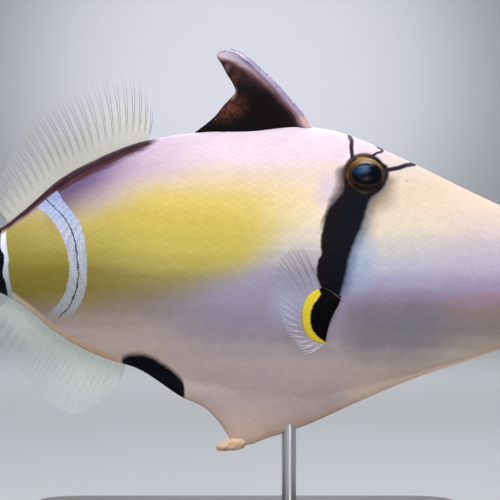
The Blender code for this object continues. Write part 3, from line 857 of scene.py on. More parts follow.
scaleShape = {
    "halfLong": 1.5, "halfHigh": 1.02,  # half diagonals where the body is tallest
    "tallest": 88, "shrink": 0.5,  # they shrink with this power of the body's height
    "front": 0.02, "rear": 0.055, "crown": 0.07, "foot": -0.2, "uneven": 0.004,  # heights over the skin
    "rows": 64, "ends": (-77.6, 103.4), "margin": 0.6,
    "eye": 6.4,
    "dorsal": (3.2, -18), "anal": (2.2, -24), "finEnd": -62,  # bare depth along each soft fin, and its front
    "bare": [  # x, z and half sizes of the places round the pectoral fins, gill slits and nostrils
        (31, 62, 4.6, 9), (31.4, 68.4, 3.2, 2.6), (51.6, 99.8, 2.2, 2.2),
    ],
    "patch": 0.0015,  # half of a plate's width on the bake map
}


def bodyShare(x):
    high = float(line["back"](x) - line["belly"](x))
    return (high / scaleShape["tallest"]) ** scaleShape["shrink"]


def scaleLattice(side):
    # the lattice's points as x and turn round the body, and which of them lie on the body
    shape = scaleShape
    turns = np.linspace(0, math.pi, 241)
    first, last = shape["ends"]
    xs = [first]
    while xs[-1] < last:
        xs.append(xs[-1] + shape["halfLong"] * bodyShare(xs[-1]))
    xs = np.array(xs)
    steps = np.arange(-shape["rows"], shape["rows"] + 1)
    nodes = np.zeros((len(xs), len(steps)))
    real = np.zeros(nodes.shape, bool)
    for i, x in enumerate(xs):
        section = bodyPoint(np.full(len(turns), x), turns)
        arc = np.concatenate([[0], np.cumsum(np.linalg.norm(np.diff(section, axis=0), axis=1))])
        want = np.interp(math.pi / 2, turns, arc) + shape["halfHigh"] * bodyShare(x) * steps
        real[i] = (want > shape["margin"]) & (want < arc[-1] - shape["margin"])
        nodes[i] = np.interp(want, arc, turns)
    return xs, nodes * side, real


def modelScale():
    # one plate: a diamond of eight points with a raised crown, and a skirt that goes into the skin
    deselectAll()
    bpy.ops.mesh.primitive_circle_add(vertices=8, radius=1, fill_type="TRIFAN")
    scale = bpy.context.object
    bpy.ops.object.mode_set(mode="EDIT")
    bpy.ops.mesh.select_all(action="SELECT")
    bpy.ops.mesh.region_to_loop()
    bpy.ops.mesh.extrude_edges_move(TRANSFORM_OT_translate={"value": (0, 0, -1)})
    editAll(outward)
    for vertex in scale.data.vertices:
        a, b = vertex.co.x, vertex.co.y
        if abs(a * b) > 0.1:  # the four points between the diamond's corners
            vertex.co.x, vertex.co.y = a * 0.75, b * 0.75
        if abs(a) + abs(b) < 0.1:
            vertex.co.z = 1
    return scale


def scaleSpots(xs, nodes, real):
    # every second point of the lattice bears a plate, but for bare skin at the eyes, fins and nostrils
    shape = scaleShape
    even = np.add.outer(np.arange(nodes.shape[0]), np.arange(nodes.shape[1])) % 2 == 0
    inner = np.zeros_like(real)
    inner[1:-1, 1:-1] = (
        real[1:-1, 1:-1] & real[2:, 1:-1] & real[:-2, 1:-1] & real[1:-1, 2:] & real[1:-1, :-2]
    )
    i, j = np.nonzero(even & inner)
    base = bodyPoint(xs[i], nodes[i, j])
    x, z = base[:, 0], base[:, 2]
    keep = eyeDistance(base) > shape["eye"]
    fins = (line["back"](x) - z, shape["dorsal"]), (z - line["belly"](x), shape["anal"])
    for gap, (depth, front) in fins:
        keep &= ~((gap < depth) & (x > shape["finEnd"]) & (x < front))
    for atX, atZ, halfX, halfZ in shape["bare"]:
        keep &= np.hypot((x - atX) / halfX, (z - atZ) / halfZ) > 1
    return i[keep], j[keep]


def addScales(side, word, material):
    shape = scaleShape
    xs, nodes, real = scaleLattice(side)
    i, j = scaleSpots(xs, nodes, real)
    x0, t0 = xs[i], nodes[i, j]
    count = len(x0)
    uneven = rng.normal(0, shape["uneven"], count)
    plate = modelScale()
    corners = pointsOf(plate)
    places, spread = [], []
    for a, b, h in corners:
        nextI = i + 1 if a > 0 else i - 1
        sideT = nodes[i, j + 1] if b > 0 else nodes[i, j - 1]
        x = x0 + (xs[nextI] - x0) * abs(a)
        turn = t0 + (nodes[nextI, j] - t0) * abs(a) + (sideT - t0) * abs(b)
        rim = shape["front"] + (shape["rear"] - shape["front"]) * (0.5 - a / 2)
        lift = shape["crown"] if h > 0.5 else (rim if h > -0.5 else shape["foot"])
        height = lift + uneven - skinShape["inset"]
        places.append(bodyPoint(x, turn) + bodyNormal(x, turn) * height[:, None])
        spread.append((a * shape["patch"], b * shape["patch"] * (1 if h > -0.5 else 1.2)))
    if side < 0:
        activate(plate)
        editAll((bpy.ops.mesh.flip_normals, {}))
    piece = copiesOf(f"scales{word}", material, plate, list(np.stack(places, axis=1)))
    nameValues(piece, "tone", np.repeat(rng.uniform(0, 1, count), len(corners)))
    nameValues(piece, "rim", np.tile(np.interp(corners[:, 2], [-1, 0, 1], [0, 0.5, 1]), count))
    # a patch of the bake map for each plate, at its place on the skin's own map
    along = (x0 - tailEnd) / (mouthRoot - tailEnd)
    mapU = (skinShape["tailRings"] + along * skinShape["bodyRings"]) / skinRings
    mapV = (t0 / (2 * math.pi)) % 1
    patches = [np.stack([mapU + a, mapV + b], axis=1) for a, b in spread]
    mapPoints = np.stack(patches, axis=1).reshape(-1, 2)
    loops = np.empty(len(piece.data.loops), int)
    piece.data.loops.foreach_get("vertex_index", loops)
    layer = piece.data.uv_layers.new(name="OFBake")
    layer.data.foreach_set("uv", mapPoints[loops].ravel())
    handIn(piece, "yellow_skin")


# Eyes and the folds of skin round them

def eyeMaterial():
    g = Graph("eyeGloss", Roughness=0.3, Specular_IOR_Level=0.06, Coat_Weight=0.015, Coat_Roughness=0.15)
    iris = g.ramp(g.z + 0.2 * (g.x - 40.8) + 0.7 * g.noise(1.4), [
        (96, 16, 13, 13), (99.4, 34, 25, 20), (103, 86, 64, 32), (104.6, 124, 98, 48),
        (107, 104, 80, 40),
    ])
    iris = g.mix(1 - g.x.step(35.6, 38.6), iris, (66, 43, 33))
    fibres = g.cells(0.45).step(0.05, 0.55)
    iris = g.mix(fibres * 0.4, iris, g.mix(0.6, iris, (18, 12, 10)))
    pupilAt = (41.5, 101.2)
    # the pupil's blue sheen is partly the eye's own blue-green and partly a painted reflection; the thin pale
    # line along its top is a painted highlight
    night = g.blot((6, 8, 15), 1, (24, 62, 96), (39.9, 102.2), (3.3, 1.6), 0.95, 4)
    night = g.blot(night, 0.5, (76, 106, 136), (40.6, 103.3), (3.2, 0.6), 0.9, 4)
    night = g.blot(night, 0.5, (56, 44, 50), (41.2, 99.9), (2.6, 1), 0.95, 10)
    colour = g.blot(iris, 0.6, (52, 40, 30), pupilAt, (5.1, 3.7), 0.14)
    return g.finish(Base_Color=g.blot(colour, 1, night, pupilAt, (4.6, 3.15), 0.12))


foldShape = {
    "radii": (4.55, 6.9), "leave": (4.7, 5.9),  # its edges, and where it passes from the ball to the skin
    "clear": 0.05, "ballEnd": 5.85, "deep": 1.1, "mesh": (96, 36), "farthest": 14.0, "halvings": 30,
    "crest": (0.45, 5.4, 0.55), "sink": (0.25, 6.3, 6.9), "wrinkle": (0.05, 17, 5.8, 0.5),
}


def addEye(side, word, gloss, fold):
    centre, aim = eyeAim[side]
    deselectAll()
    bpy.ops.mesh.primitive_uv_sphere_add(segments=72, ring_count=44, radius=eyeShape["radius"] * mm)
    eye = named(f"eye{word}", gloss)
    ball = pointsOf(eye) / mm
    away = ball / np.linalg.norm(ball, axis=1, keepdims=True)
    facing = away @ aim
    high, low, full = eyeShape["cornea"]
    bulge = high * smooth(low, full, facing)
    eye.data.vertices.foreach_set("co", ((ball + away * bulge[:, None] + centre) * mm).ravel())
    eye.data.update()
    bpy.ops.object.shade_smooth()
    handIn(eye, "eye_gloss", f"eye_{word.lower()}")

    forward = np.cross(aim, (0, 0, 1.0))
    forward /= np.linalg.norm(forward)
    upward = np.cross(forward, aim)

    def skinHeight(across):  # how far out the body's surface lies over these points, by halving
        low, high = np.zeros(len(across)), np.full(len(across), foldShape["farthest"])
        for _ in range(foldShape["halvings"]):
            middle = (low + high) / 2
            spot = across + aim * middle[:, None]
            inner = np.abs(spot[:, 1]) < flank(spot[:, 0], spot[:, 2])
            low, high = np.where(inner, middle, low), np.where(inner, high, middle)
        return low

    def foldPlace(u, v):
        shape = foldShape
        angle, turn = 2 * math.pi * u, 2 * math.pi * v
        inner, outer = shape["radii"]
        reach = inner + (outer - inner) * (1 - np.cos(turn)) / 2
        across = centre + (np.cos(angle) * reach)[:, None] * forward
        across = across + (np.sin(angle) * reach)[:, None] * upward
        ball = (eyeShape["radius"] + shape["clear"]) ** 2 - np.minimum(reach, shape["ballEnd"]) ** 2
        blend = smooth(*shape["leave"], reach)
        skin = skinHeight(across) - skinShape["inset"]
        height = np.sqrt(ball) * (1 - blend) + skin * blend
        rise, at, width = shape["crest"]
        sink, start, end = shape["sink"]
        height = height + rise * bell(reach, at, width) - sink * smooth(start, end, reach)
        rise, count, at, width = shape["wrinkle"]
        height = height + rise * np.sin(angle * count + 2 * np.sin(angle * 5)) * bell(reach, at, width)
        height = np.where(np.sin(turn) < 0, height - shape["deep"] * np.abs(np.sin(turn)), height)
        return across + aim * height[:, None]

    ring = addGrid(f"eyeFold{word}", fold, *foldShape["mesh"], foldPlace, closeAround=True)
    handIn(ring, "pale_skin")


def foldMaterial():
    g = Graph("eyeFold", Specular_IOR_Level=0.1)
    midX, midZ = eyeShape["middle"]
    gold = g.ramp(g.z + 0.25 * (midX - g.x) + g.wobble(0.8, 1.1, 3), [
        (94.5, 9, 8, 11), (97.5, 22, 16, 16), (100.5, 58, 39, 29), (103.2, 106, 78, 37),
        (105.6, 138, 108, 54), (108, 110, 84, 46),
    ])
    left = (1 - g.x.step(36, 39.6)) * g.z.step(99.5, 103)
    brown = g.mix(left * 0.85, gold, (64, 40, 33))
    brown = g.mix(g.x.step(44.6, 46.6) * 0.7, brown, (70, 56, 50))
    crest = g.spot((midX, midZ), (5.8, 5.5), 0.12)
    edge = g.mix(1 - crest, brown, g.mix(0.5, brown, (22, 14, 18)))
    outer = 1 - g.spot((midX, midZ), (6.4, 6.1), 0.08)
    colour = g.mix(outer, edge, skinColours(g))
    normal = g.bump(g.noise(0.5, 4), 0.35, 0.05)
    return g.finish(Base_Color=colour, Roughness=0.4 + 0.15 * g.noise(0.9), Normal=normal)


# Teeth

toothShape = {
    "count": 8, "apart": 21, "arch": (105.4, 3.3, 2.9),  # degrees apart, and the arch's middle and half sizes
    "size": (0.62, 1.02, 1.55), "smaller": 0.07,  # of the middle teeth, and by how much each next one shrinks
    "chisel": 0.45, "narrow": 0.36, "hollow": 0.12, "gap": (0.22, 0.25),
}


def addTeeth(word, side, material):
    # chisel-edged teeth, largest in the middle, each set into the jaw
    deselectAll()
    bpy.ops.mesh.primitive_cube_add(size=1)
    source = applyModifier(bpy.context.object, "BEVEL", width=0.22, segments=2)
    depth, width, height = pointsOf(source).T
    tip = height * -side  # 0.5 at the biting edge
    middle, archX, archY = toothShape["arch"]
    deep, wide, tall = toothShape["size"]
    places = []
    for k in range(toothShape["count"]):
        off = k - (toothShape["count"] - 1) / 2
        turn = math.radians(off * toothShape["apart"])
        big = 1 - toothShape["smaller"] * abs(off)
        along = depth * deep * (1 - toothShape["chisel"] * np.clip(tip + 0.5, 0, 1))
        across = width * wide * big * (1 - toothShape["narrow"] * np.clip(tip, 0, 0.5))
        up = height * tall * big + side * toothShape["hollow"] * np.abs(width) * (tip > 0.2)
        c, s = math.cos(turn), math.sin(turn)
        x = middle + archX * c + along * c - across * s
        y = archY * s + along * s + across * c
        gap = toothShape["gap"][0] + toothShape["gap"][1] * (1 - big)
        z = mouthHeight + side * (gap + tall * big / 2) + up
        places.append(np.column_stack([x, y, z]))
    piece = copiesOf(f"teeth{word}", material, source, places)
    handIn(piece, "tooth", f"{word.lower()}_teeth")


# Front dorsal fin, a rough locking spine with a dark membrane

spineShape = {
    "lead": [
        (112.6, 27.2), (114.3, 26.2), (118, 24.3), (122.1, 20.7), (126.6, 16.9), (130.6, 12.5), (134, 8.3),
        (135.8, 5.2), (136.3, 3),
    ],
    "trail": [
        (112.6, -7.6), (114, -5.4), (117.6, -0.9), (121, 1.9), (123.2, 4), (124.6, 5), (126.6, 4.4),
        (129.6, 2.6), (132.6, 1), (134.7, -0.2), (135.6, 0.2), (136.3, 1.5),
    ],
    "low": 112.6, "top": 136.3, "radius": (2, 0.85), "web": 0.34, "sunk": (0.12, 1), "mesh": (120, 90),
    "inner": [  # thinner spines in the membrane: half thickness, x and z at a point, lean, width and top
        (0.3, 5.2, 124.5, 0.35, 0.7, (122, 126)), (0.24, 2.4, 121, 0.9, 0.6, (117, 121)),
    ],
    "folds": (0.05, 2.3, 0.7),
}


def frontFinPlace(u, v):
    shape = spineShape
    lead, trail = smoothCurve(shape["lead"]), smoothCurve(shape["trail"])
    chord = np.abs(2 * u - 1) ** 1.25  # 0 at the front edge, 1 at the rear
    z = shape["low"] + v * (shape["top"] - shape["low"])
    front, rear = lead(z), trail(z)
    x = front - chord * (front - rear)
    share, depth = shape["sunk"]  # the foot follows the back, under its skin
    z = np.where(v < share, z + (line["back"](x) - depth - shape["low"]) * (1 - v / share), z)
    thick, thin = shape["radius"]
    radius = thick + (thin - thick) * v
    away = (front - x) / radius
    spine = radius * np.sqrt(np.clip(1 - (away - 1) ** 2, 0, 1)) * (away < 2)
    web = shape["web"]
    for half, atX, atZ, lean, width, top in shape["inner"]:
        web = web + half * bell(x, atX - (atZ - z) * lean, width) * (1 - smooth(*top, z))
    web = web * (1 - smooth(0.93, 1, chord) * 0.75)
    high, alongX, alongZ = shape["folds"]
    folds = high * np.sin(x * alongX + z * alongZ)
    half = np.maximum(spine, (web + folds) * smooth(0, 0.06, chord))
    half = half * (1 - smooth(0.985, 1, v)) * (chord < 0.9999)
    return np.stack([x, np.where(u < 0.5, half, -half), z], axis=-1)


def frontFinMaterial():
    g = Graph("frontFin", Specular_IOR_Level=0.05)
    lead = g.z.curve(spineShape["lead"])
    inward = (lead - g.x) * 0.72 + g.wobble(0.6, 1.6, 3)
    colour = g.ramp(inward, [
        (-1.8, 190, 180, 200), (0, 146, 136, 166), (1, 150, 133, 154), (1.8, 134, 106, 114),
        (2.6, 62, 42, 46), (3.4, 20, 12, 15), (6, 11, 7, 9),
    ])
    wider = g.z.curve([  # the pale edge widens at the tip
        (120, 0), (130.2, 0), (131, 0.2), (131.8, 0.8), (132.6, 0.9), (133.5, 1.5), (134.3, 2.6), (136, 4.6),
    ])
    # the pale edge, wider at the tip. Its darker stops on the spine's rounded front are painted shade that
    # damps the highlight there, and its lighter band just behind is painted light over the spine's shaded
    # lower side
    upper = g.ramp(inward - wider, [
        (-4, 206, 198, 220), (-0.4, 160, 150, 182), (0.2, 146, 138, 170), (0.9, 172, 161, 188),
        (1.6, 174, 156, 174), (2.4, 162, 132, 134), (3.2, 98, 72, 78), (4, 62, 43, 48), (5, 40, 29, 32),
        (8, 30, 20, 22),
    ])
    tip = g.mix(g.z.step(133.6, 136), (222, 196, 198), (222, 212, 228))
    upper = g.mix(g.z.step(132.6, 135) * 0.45, upper, tip)
    colour = g.mix(g.z.step(123, 129), colour, upper)
    rust = g.spot((3.4, 120), (7.6, 5), 0.95, 24).most(g.spot((4.6, 128.4), (2, 5), 0.9, -28) * 0.7)
    colour = g.mix(rust * g.noise(0.9, 4, 0.7).step(0.25, 0.7) * 0.85, colour, (104, 60, 48))
    colour = g.blot(colour, 1, (216, 178, 160), (25, 116.4), (3.2, 2.2), 0.95, -50)
    flecks = 1 - g.cells(1.1).step(0, 0.26)
    hem = g.spot((-1.8, 116.4), (4.4, 3.6), 0.8, 50)
    colour = g.mix(flecks * hem * 0.6, colour, (170, 160, 166))
    colour = g.blot(colour, 0.55, (120, 86, 96), (2.6, 131.2), (1.5, 2.6), 0.9, -25)
    colour = g.blot(colour, 0.5, (176, 138, 138), (4.5, 124.2), (1.3, 2.8), 0.9, -12)
    rays = g.noise(0.9, 2, 0.5, (1.6, 0.5, 0.35))
    normal = g.bump(rays, 0.5, 0.12, g.bump(g.cells(0.55), 0.8, 0.12))
    return g.finish(Base_Color=colour, Roughness=0.5 + 0.15 * g.noise(2), Normal=normal)


def addFrontFin():
    finish = frontFinMaterial()
    fin = addGrid("frontDorsalFin", finish, *spineShape["mesh"], frontFinPlace, closeAround=True)
    handIn(fin, "dark_fin", "dorsal_fin_front")


prickleShape = {
    "edge": ((115.5, 131, 220), (131, 136.1, 200)),  # heights between which this many stand
    "tip": (0.3, 3.8, 110), "tipHeight": 135.9,
    "radii": (0.11, 0.08, 0.02), "unruly": 0.08,
}


def addPrickles():
    # short rough points along the front edge of the first spine, and a fringe on its blunt tip
    g = Graph("spinePrickles", Specular_IOR_Level=0.1)
    tint = g.ramp(g.z + 0.6 * g.noise(1), [
        (114, 146, 128, 132), (122, 136, 126, 158), (130, 154, 144, 176), (135, 188, 178, 202),
    ])
    material = g.finish(Base_Color=tint, Roughness=0.55 + 0.1 * g.noise(0.8))
    shape = prickleShape
    edge = smoothCurve(spineShape["lead"])
    paths = []

    def addPrickle(foot, lean, length):
        points = np.array([foot, foot + lean * length * 0.6, foot + lean * length])
        paths.append((points, shape["radii"]))

    for z in np.concatenate([rng.uniform(*span) for span in shape["edge"]]):
        tip = float(smooth(126, 136, z))
        slope = float(edge(z + 0.2) - edge(z - 0.2)) / 0.4
        out = np.array((1, 0, -slope)) / math.hypot(1, slope)
        y = rng.uniform(-1, 1) * (1.5 - tip)
        foot = np.array((float(edge(z)) - 0.35 - 0.28 * y * y, y, z))
        lean = out + np.array((-0.3, 0.3 * y, 0.15)) + rng.normal(0, shape["unruly"], 3)
        addPrickle(foot, lean, rng.uniform(0.4, 0.65) + tip * rng.uniform(0.05, 0.3))
    for x in rng.uniform(*shape["tip"]):
        y = rng.uniform(-0.4, 0.4)
        foot = np.array((x, y, shape["tipHeight"] - 0.8 * y * y - 0.5 * max(0, 1.5 - x)))
        lean = np.array((-0.25, 0.4 * y, 1)) + rng.normal(0, shape["unruly"], 3)
        addPrickle(foot, lean, rng.uniform(0.35, 0.85))
    handIn(addRods("spinePrickles", material, paths, 5), "dark_fin")


# Soft fins: rays under a thin clear skin

softFins = {  # a ray is the x of its root, its length and its angle
    "rear": {
        "rays": [
            (-19.5, 9, 84), (-22.8, 18.5, 88), (-28.1, 21.3, 96), (-35.4, 20.4, 110), (-44.9, 18, 119),
            (-52.5, 13.2, 124), (-58.4, 7.8, 136),
        ],
        "wave": (3.6, 1.35, 0.1), "count": 25, "root": "back", "side": 1,
    },
    "anal": {
        "rays": [
            (-25.6, 9, 244), (-28.1, 15.9, 237), (-32.5, 18.2, 238), (-38, 17.4, 232), (-44.5, 16.6, 240),
            (-50, 14.4, 247), (-54.5, 11.4, 240), (-58.4, 7.8, 226),
        ],
        "wave": (4.2, 1.3, 0.55), "count": 22, "root": "belly", "side": -1,
    },
}


softFinShape = {
    "arch": 10, "sunk": 0.7,  # degrees that a ray turns back on its way up, and how deep its root lies
    "mesh": (150, 26), "thickness": 0.1,
    "ray": {"radii": (0.085, 0.05), "start": 0.03, "spread": 0.2, "forkAt": 0.2},
}


def softFinPlace(which):
    fin = softFins[which]
    rays = fin["rays"]
    length = smoothCurve(sorted((x, reach) for x, reach, _ in rays))
    lean = smoothCurve(sorted((x, angle) for x, _, angle in rays))
    swing, waves, phase = fin["wave"]
    first, last = rays[0][0], rays[-1][0]

    def place(u, v):
        x = first + (last - first) * u
        angle = np.radians(lean(x) - fin["side"] * softFinShape["arch"] * (1 - v))
        reach = length(x) * v
        y = swing * np.clip(v, 0, 2) ** 1.6 * np.sin(2 * math.pi * (waves * u + phase))
        z = line[fin["root"]](x) - fin["side"] * softFinShape["sunk"] * (1 - v)
        return np.stack([x + reach * np.cos(angle), y, z + reach * np.sin(angle)], axis=-1)

    return place


def webMaterial(name, tint, rootAlpha, tipAlpha, uneven=0):
    g = Graph(name, Roughness=0.35, Specular_IOR_Level=0.12)
    reach, streak = g.attribute("reach"), g.attribute("streak")
    alpha = rootAlpha + (tipAlpha - rootAlpha) * reach.step(0, 0.85) + 0.06 * (1 - abs(streak))
    alpha = alpha + g.wobble(uneven, 6)
    colour = g.mix(g.noise(3) * 0.2, tint, (236, 234, 226))
    return g.finish(Base_Color=colour, Alpha=alpha.most(0.02))


def rayMaterial(name, rootTint, tipTint, alphas, grouped=0):
    # alphas are the root's, the middle's and the tip's
    g = Graph(name, Roughness=0.4, Specular_IOR_Level=0.12)
    reach = g.attribute("reach")
    colour = g.mix(reach.step(0.1, 0.9), rootTint, tipTint)
    alpha = alphas[0] + (alphas[1] - alphas[0]) * reach.step(0.14, 0.42)
    alpha = alpha + (alphas[2] - alphas[1]) * reach.step(0.6, 1)
    alpha = alpha * (1 - grouped + grouped * g.noise(5, 1).step(0.4, 0.6))
    return g.finish(Base_Color=colour, Alpha=alpha)


def nearestReach(piece, paths):  # each point takes the share of its ray's length that it lies at
    spots = np.concatenate([where for where, _, _ in paths])
    shares = np.concatenate([share for _, _, share in paths])
    points = pointsOf(piece) / mm
    nearest = [np.argmin(((spots - p) ** 2).sum(axis=1)) for p in points]
    nameValues(piece, "reach", shares[nearest])


def addWeb(name, material, place, columns, rows, count, thickness, scallop=0.03):
    # the clear skin between the rays, which dips a little between their tips
    def dipped(u, v):
        dip = 1 - scallop * np.sin(math.pi * u * (count - 1)) ** 2
        return place(u, v * dip)

    web = addGrid(name, material, columns, rows, dipped)
    nameValues(web, "reach", np.repeat(np.linspace(0, 1, rows + 1), columns + 1))
    across = np.tile(np.linspace(0, 1, columns + 1), rows + 1)
    nameValues(web, "streak", np.sin(math.pi * across * (count - 1)))
    applyModifier(web, "SOLIDIFY", thickness=thickness * mm, offset=0)
    return web


def rayPaths(place, count, radii, start=0, forkAt=0.5, spread=0.28, ends=(0, 1)):
    # each ray rises as one rod and forks into two that run on beside each other
    paths = []
    steps = np.linspace(start, 1, 15)
    for k in range(count):
        u = ends[0] + (ends[1] - ends[0]) * k / (count - 1)
        gap = (ends[1] - ends[0]) / (count - 1) * spread
        for side in (-1, 1):
            fork = side * gap * smooth(forkAt - 0.45, 1, steps)
            where = place(np.clip(u + fork, -0.02, 1.02), steps)
            paths.append((where, radii[0] + (radii[1] - radii[0]) * steps, steps))
    return paths


def addRays(name, material, paths):
    rays = addRods(name, material, [(where, radii) for where, radii, _ in paths])
    nearestReach(rays, paths)
    handIn(rays, "clear_fin")


def addSoftFin(which, title, webFinish, rayFinish, node):
    shape, count = softFinShape, softFins[which]["count"]
    place = softFinPlace(which)
    web = addWeb(f"{title}Web", webFinish, place, *shape["mesh"], count, shape["thickness"])
    handIn(web, "clear_fin", node)
    addRays(f"{title}Rays", rayFinish, rayPaths(place, count, **shape["ray"]))


# Tail fin

tailShape = {
    "length": 31.4, "spread": 25, "sunk": 3, "rootHeight": 0.94, "count": 12,
    "curl": (1.6, 2.2, 0.4), "mesh": (110, 40), "thickness": 0.16,
    "edge": 0.012, "branches": 4,
    "forks": ((0.03, 0.25, 0.9), (0.044, 0.55, 1)),  # how far each fork opens, and where along the ray
    "radii": (0.42, 0.3, 0.07), "edgeTip": 0.12,
}


def tailPlace(u, v):
    low, high = float(line["belly"](tailEnd)), float(line["back"](tailEnd))
    across = 1 - 2 * u
    angle = np.radians(180 - tailShape["spread"] * across)
    reach = tailShape["length"] * v
    x = tailEnd - 0.3 + tailShape["sunk"] * (1 - v) + reach * np.cos(angle)
    z = (low + high) / 2 + (high - low) / 2 * tailShape["rootHeight"] * across + reach * np.sin(angle)
    swing, waves, phase = tailShape["curl"]
    y = swing * np.clip(v, 0, 1) ** 2 * np.sin(waves * across + phase)
    return np.stack([x, y, z], axis=-1)


def addTailFin(webFinish, rayFinish):
    # every ray but the outermost two forks into two and then into four
    shape = tailShape
    last = shape["count"] - 1
    web = addWeb("tailFinWeb", webFinish, tailPlace, *shape["mesh"], shape["count"], shape["thickness"], 0.02)
    handIn(web, "clear_fin", "tail_fin")
    paths = []
    steps = np.linspace(0, 1, 22)
    (wide, wideFrom, wideTo), (fine, fineFrom, fineTo) = shape["forks"]
    for k in range(shape["count"]):
        u = shape["edge"] + (1 - 2 * shape["edge"]) * k / last
        if k in (0, last):
            radii = (*shape["radii"][:2], shape["edgeTip"])
            paths.append((tailPlace(u + 0 * steps, steps), radii))
            continue
        for lane in np.linspace(-0.5, 0.5, shape["branches"]):
            first = wide * np.sign(lane) * smooth(wideFrom, wideTo, steps)
            second = fine * (lane - 0.34 * np.sign(lane)) * smooth(fineFrom, fineTo, steps)
            paths.append((tailPlace(u + first + second, steps), shape["radii"]))
    addRays("tailFinRays", rayFinish, [
        (where, np.interp(steps, (0, 0.2, 1), radii), steps) for where, radii in paths
    ])


# Pectoral fins: a fleshy black root edged in yellow, and a fan of clear rays

pectoralShape = {
    "rootArc": [(28.8, 69.9), (25.4, 68), (23.7, 64.8), (23.5, 61.6), (24, 58.4), (25.8, 55.9), (29.6, 54.4)],
    "tips": [
        (23.2, 81.2), (20.2, 80.8), (17.6, 78.2), (16.2, 74.4), (15.8, 70.4), (16.4, 66.6), (17.2, 62.9),
        (18.4, 59.6), (20, 56.8), (22, 54.4), (24, 51.8),
    ],
    "clear": 0.9, "lift": 6, "bow": 0.54, "ripple": (0.35, 9), "count": 15, "mesh": (84, 24),
    "ray": {"radii": (0.13, 0.04), "forkAt": 0.6, "spread": 0.26, "ends": (0.01, 0.99)},
    "lobe": {"swell": 1.25, "round": 0.7, "sunk": 0.9, "rearLift": 0.35},
    "lobeFront": [(34, 67.6), (33.6, 65.6), (32.2, 63), (31, 60), (30.3, 57.2), (29.9, 54.8)],
    "lobeRear": [
        (28.8, 70.2), (25.2, 67.9), (23.6, 64.8), (23.4, 61.6), (23.9, 58.4), (25.7, 55.8), (30, 54.4),
    ],
    "blackRear": [
        (30.4, 69.8), (27.9, 66.6), (26.6, 64.4), (26.1, 62.1), (26.4, 59.3), (27.4, 57.5), (30.1, 55.1),
    ],
    "slit": [(29.2, 70), (31, 69.1), (32.6, 68), (34.2, 66.5)],
}


def pectoralPlace(side):
    shape = pectoralShape

    def place(u, v):
        rootX, rootZ = alongLine(shape["rootArc"], u)
        tipX, tipZ = alongLine(shape["tips"], u)
        x, z = rootX + (tipX - rootX) * v, rootZ + (tipZ - rootZ) * v
        v = np.clip(v, 0, 1)
        z = z + shape["bow"] * np.sin(math.pi * v) * np.cos(math.pi * u)
        high, waves = shape["ripple"]
        y = flank(rootX, rootZ) + shape["clear"] + shape["lift"] * v ** 1.15 + high * np.sin(u * waves)
        y = np.maximum(y, flank(x, z) + 0.5)
        return np.stack([x, side * y, z], axis=-1)

    return place


def lobePlace(side):
    # a low cushion: the upper half is its outer face, the lower half goes into the flank
    lobe = pectoralShape["lobe"]

    def place(u, v):
        turn = 2 * math.pi * v
        share = (1 - np.cos(turn)) / 2
        frontX, frontZ = alongLine(pectoralShape["lobeFront"], u)
        rearX, rearZ = alongLine(pectoralShape["lobeRear"], u)
        x, z = frontX + (rearX - frontX) * share, frontZ + (rearZ - frontZ) * share
        swell = lobe["swell"] * np.sin(math.pi * np.clip(u * 0.94 + 0.03, 0, 1)) ** 0.6
        outside = np.sin(turn) >= 0
        arch = np.abs(np.sin(turn)) ** lobe["round"]
        lift = np.where(outside, swell * arch + 0.1, -lobe["sunk"] * arch)
        lift = lift + lobe["rearLift"] * smooth(0.6, 1, share) * outside
        return np.stack([x, side * (flank(x, z) - 0.1 + lift), z], axis=-1)

    return place


def lobeMaterial():
    g = Graph("pectoralRoot", Specular_IOR_Level=0.04)
    rear = g.z.curve(sorted((z, x - 0.5) for x, z in pectoralShape["blackRear"]))
    yellow = 1 - (g.x - rear + g.wobble(0.5, 0.7)).step(-0.25, 0.25)
    yellow = yellow * (1 - (g.x + 0.4 * (g.z - 69)).step(27.9, 28.5))
    gold = g.mix(g.noise(0.7, 3), (240, 218, 64), (212, 184, 48))
    colour = g.mix(yellow, g.mix(g.noise(1.5), (3, 3, 6), (8, 8, 13)), gold)
    normal = g.bump(g.cells(0.42), 0.35, 0.05)
    return g.finish(Base_Color=colour, Roughness=0.5 + 0.1 * g.noise(0.9), Normal=normal)


def pectoralRayMaterial():
    g = Graph("pectoralRay", Roughness=0.4, Specular_IOR_Level=0.2)
    reach = g.attribute("reach")
    colour = g.mix(g.z.step(64, 74), (226, 228, 242), (132, 128, 136))
    alpha = 0.2 + 0.6 * reach.step(0.1, 0.7) * (1 - 0.5 * reach.step(0.8, 1))
    return g.finish(Base_Color=colour, Alpha=alpha)


def gillLipMaterial():
    g = Graph("gillLip", Specular_IOR_Level=0.3)
    colour = g.mix(g.x.step(31, 33.4), (14, 10, 13), (84, 72, 64))
    colour = g.mix(g.noise(0.6) * 0.5, colour, (40, 34, 34))
    return g.finish(Base_Color=colour, Roughness=0.4 + 0.1 * g.noise(0.8))


def addPectoralFin(side, word, webFinish, rayFinish, rootFinish, lipFinish):
    shape, place = pectoralShape, pectoralPlace(side)
    web = addWeb(f"pectoralWeb{word}", webFinish, place, *shape["mesh"], shape["count"], 0.08, 0.05)
    handIn(web, "clear_fin", f"pectoral_fin_{word.lower()}")
    addRays(f"pectoralRays{word}", rayFinish, rayPaths(place, shape["count"], **shape["ray"]))
    root = addGrid(f"pectoralRoot{word}", rootFinish, 40, 40, lobePlace(side), closeAround=True)
    handIn(root, "dark_skin")
    # the gill slit's raised lip, thickest in its middle
    slitX, slitZ = alongLine(shape["slit"], np.linspace(0, 1, 14))
    path = np.column_stack([slitX, side * (flank(slitX, slitZ) + 0.4), slitZ])
    radii = 0.06 + 0.22 * np.sin(np.linspace(0.1, math.pi - 0.1, 14))
    handIn(addRods(f"gillLip{word}", lipFinish, [(path, radii)], 8), "pale_skin")


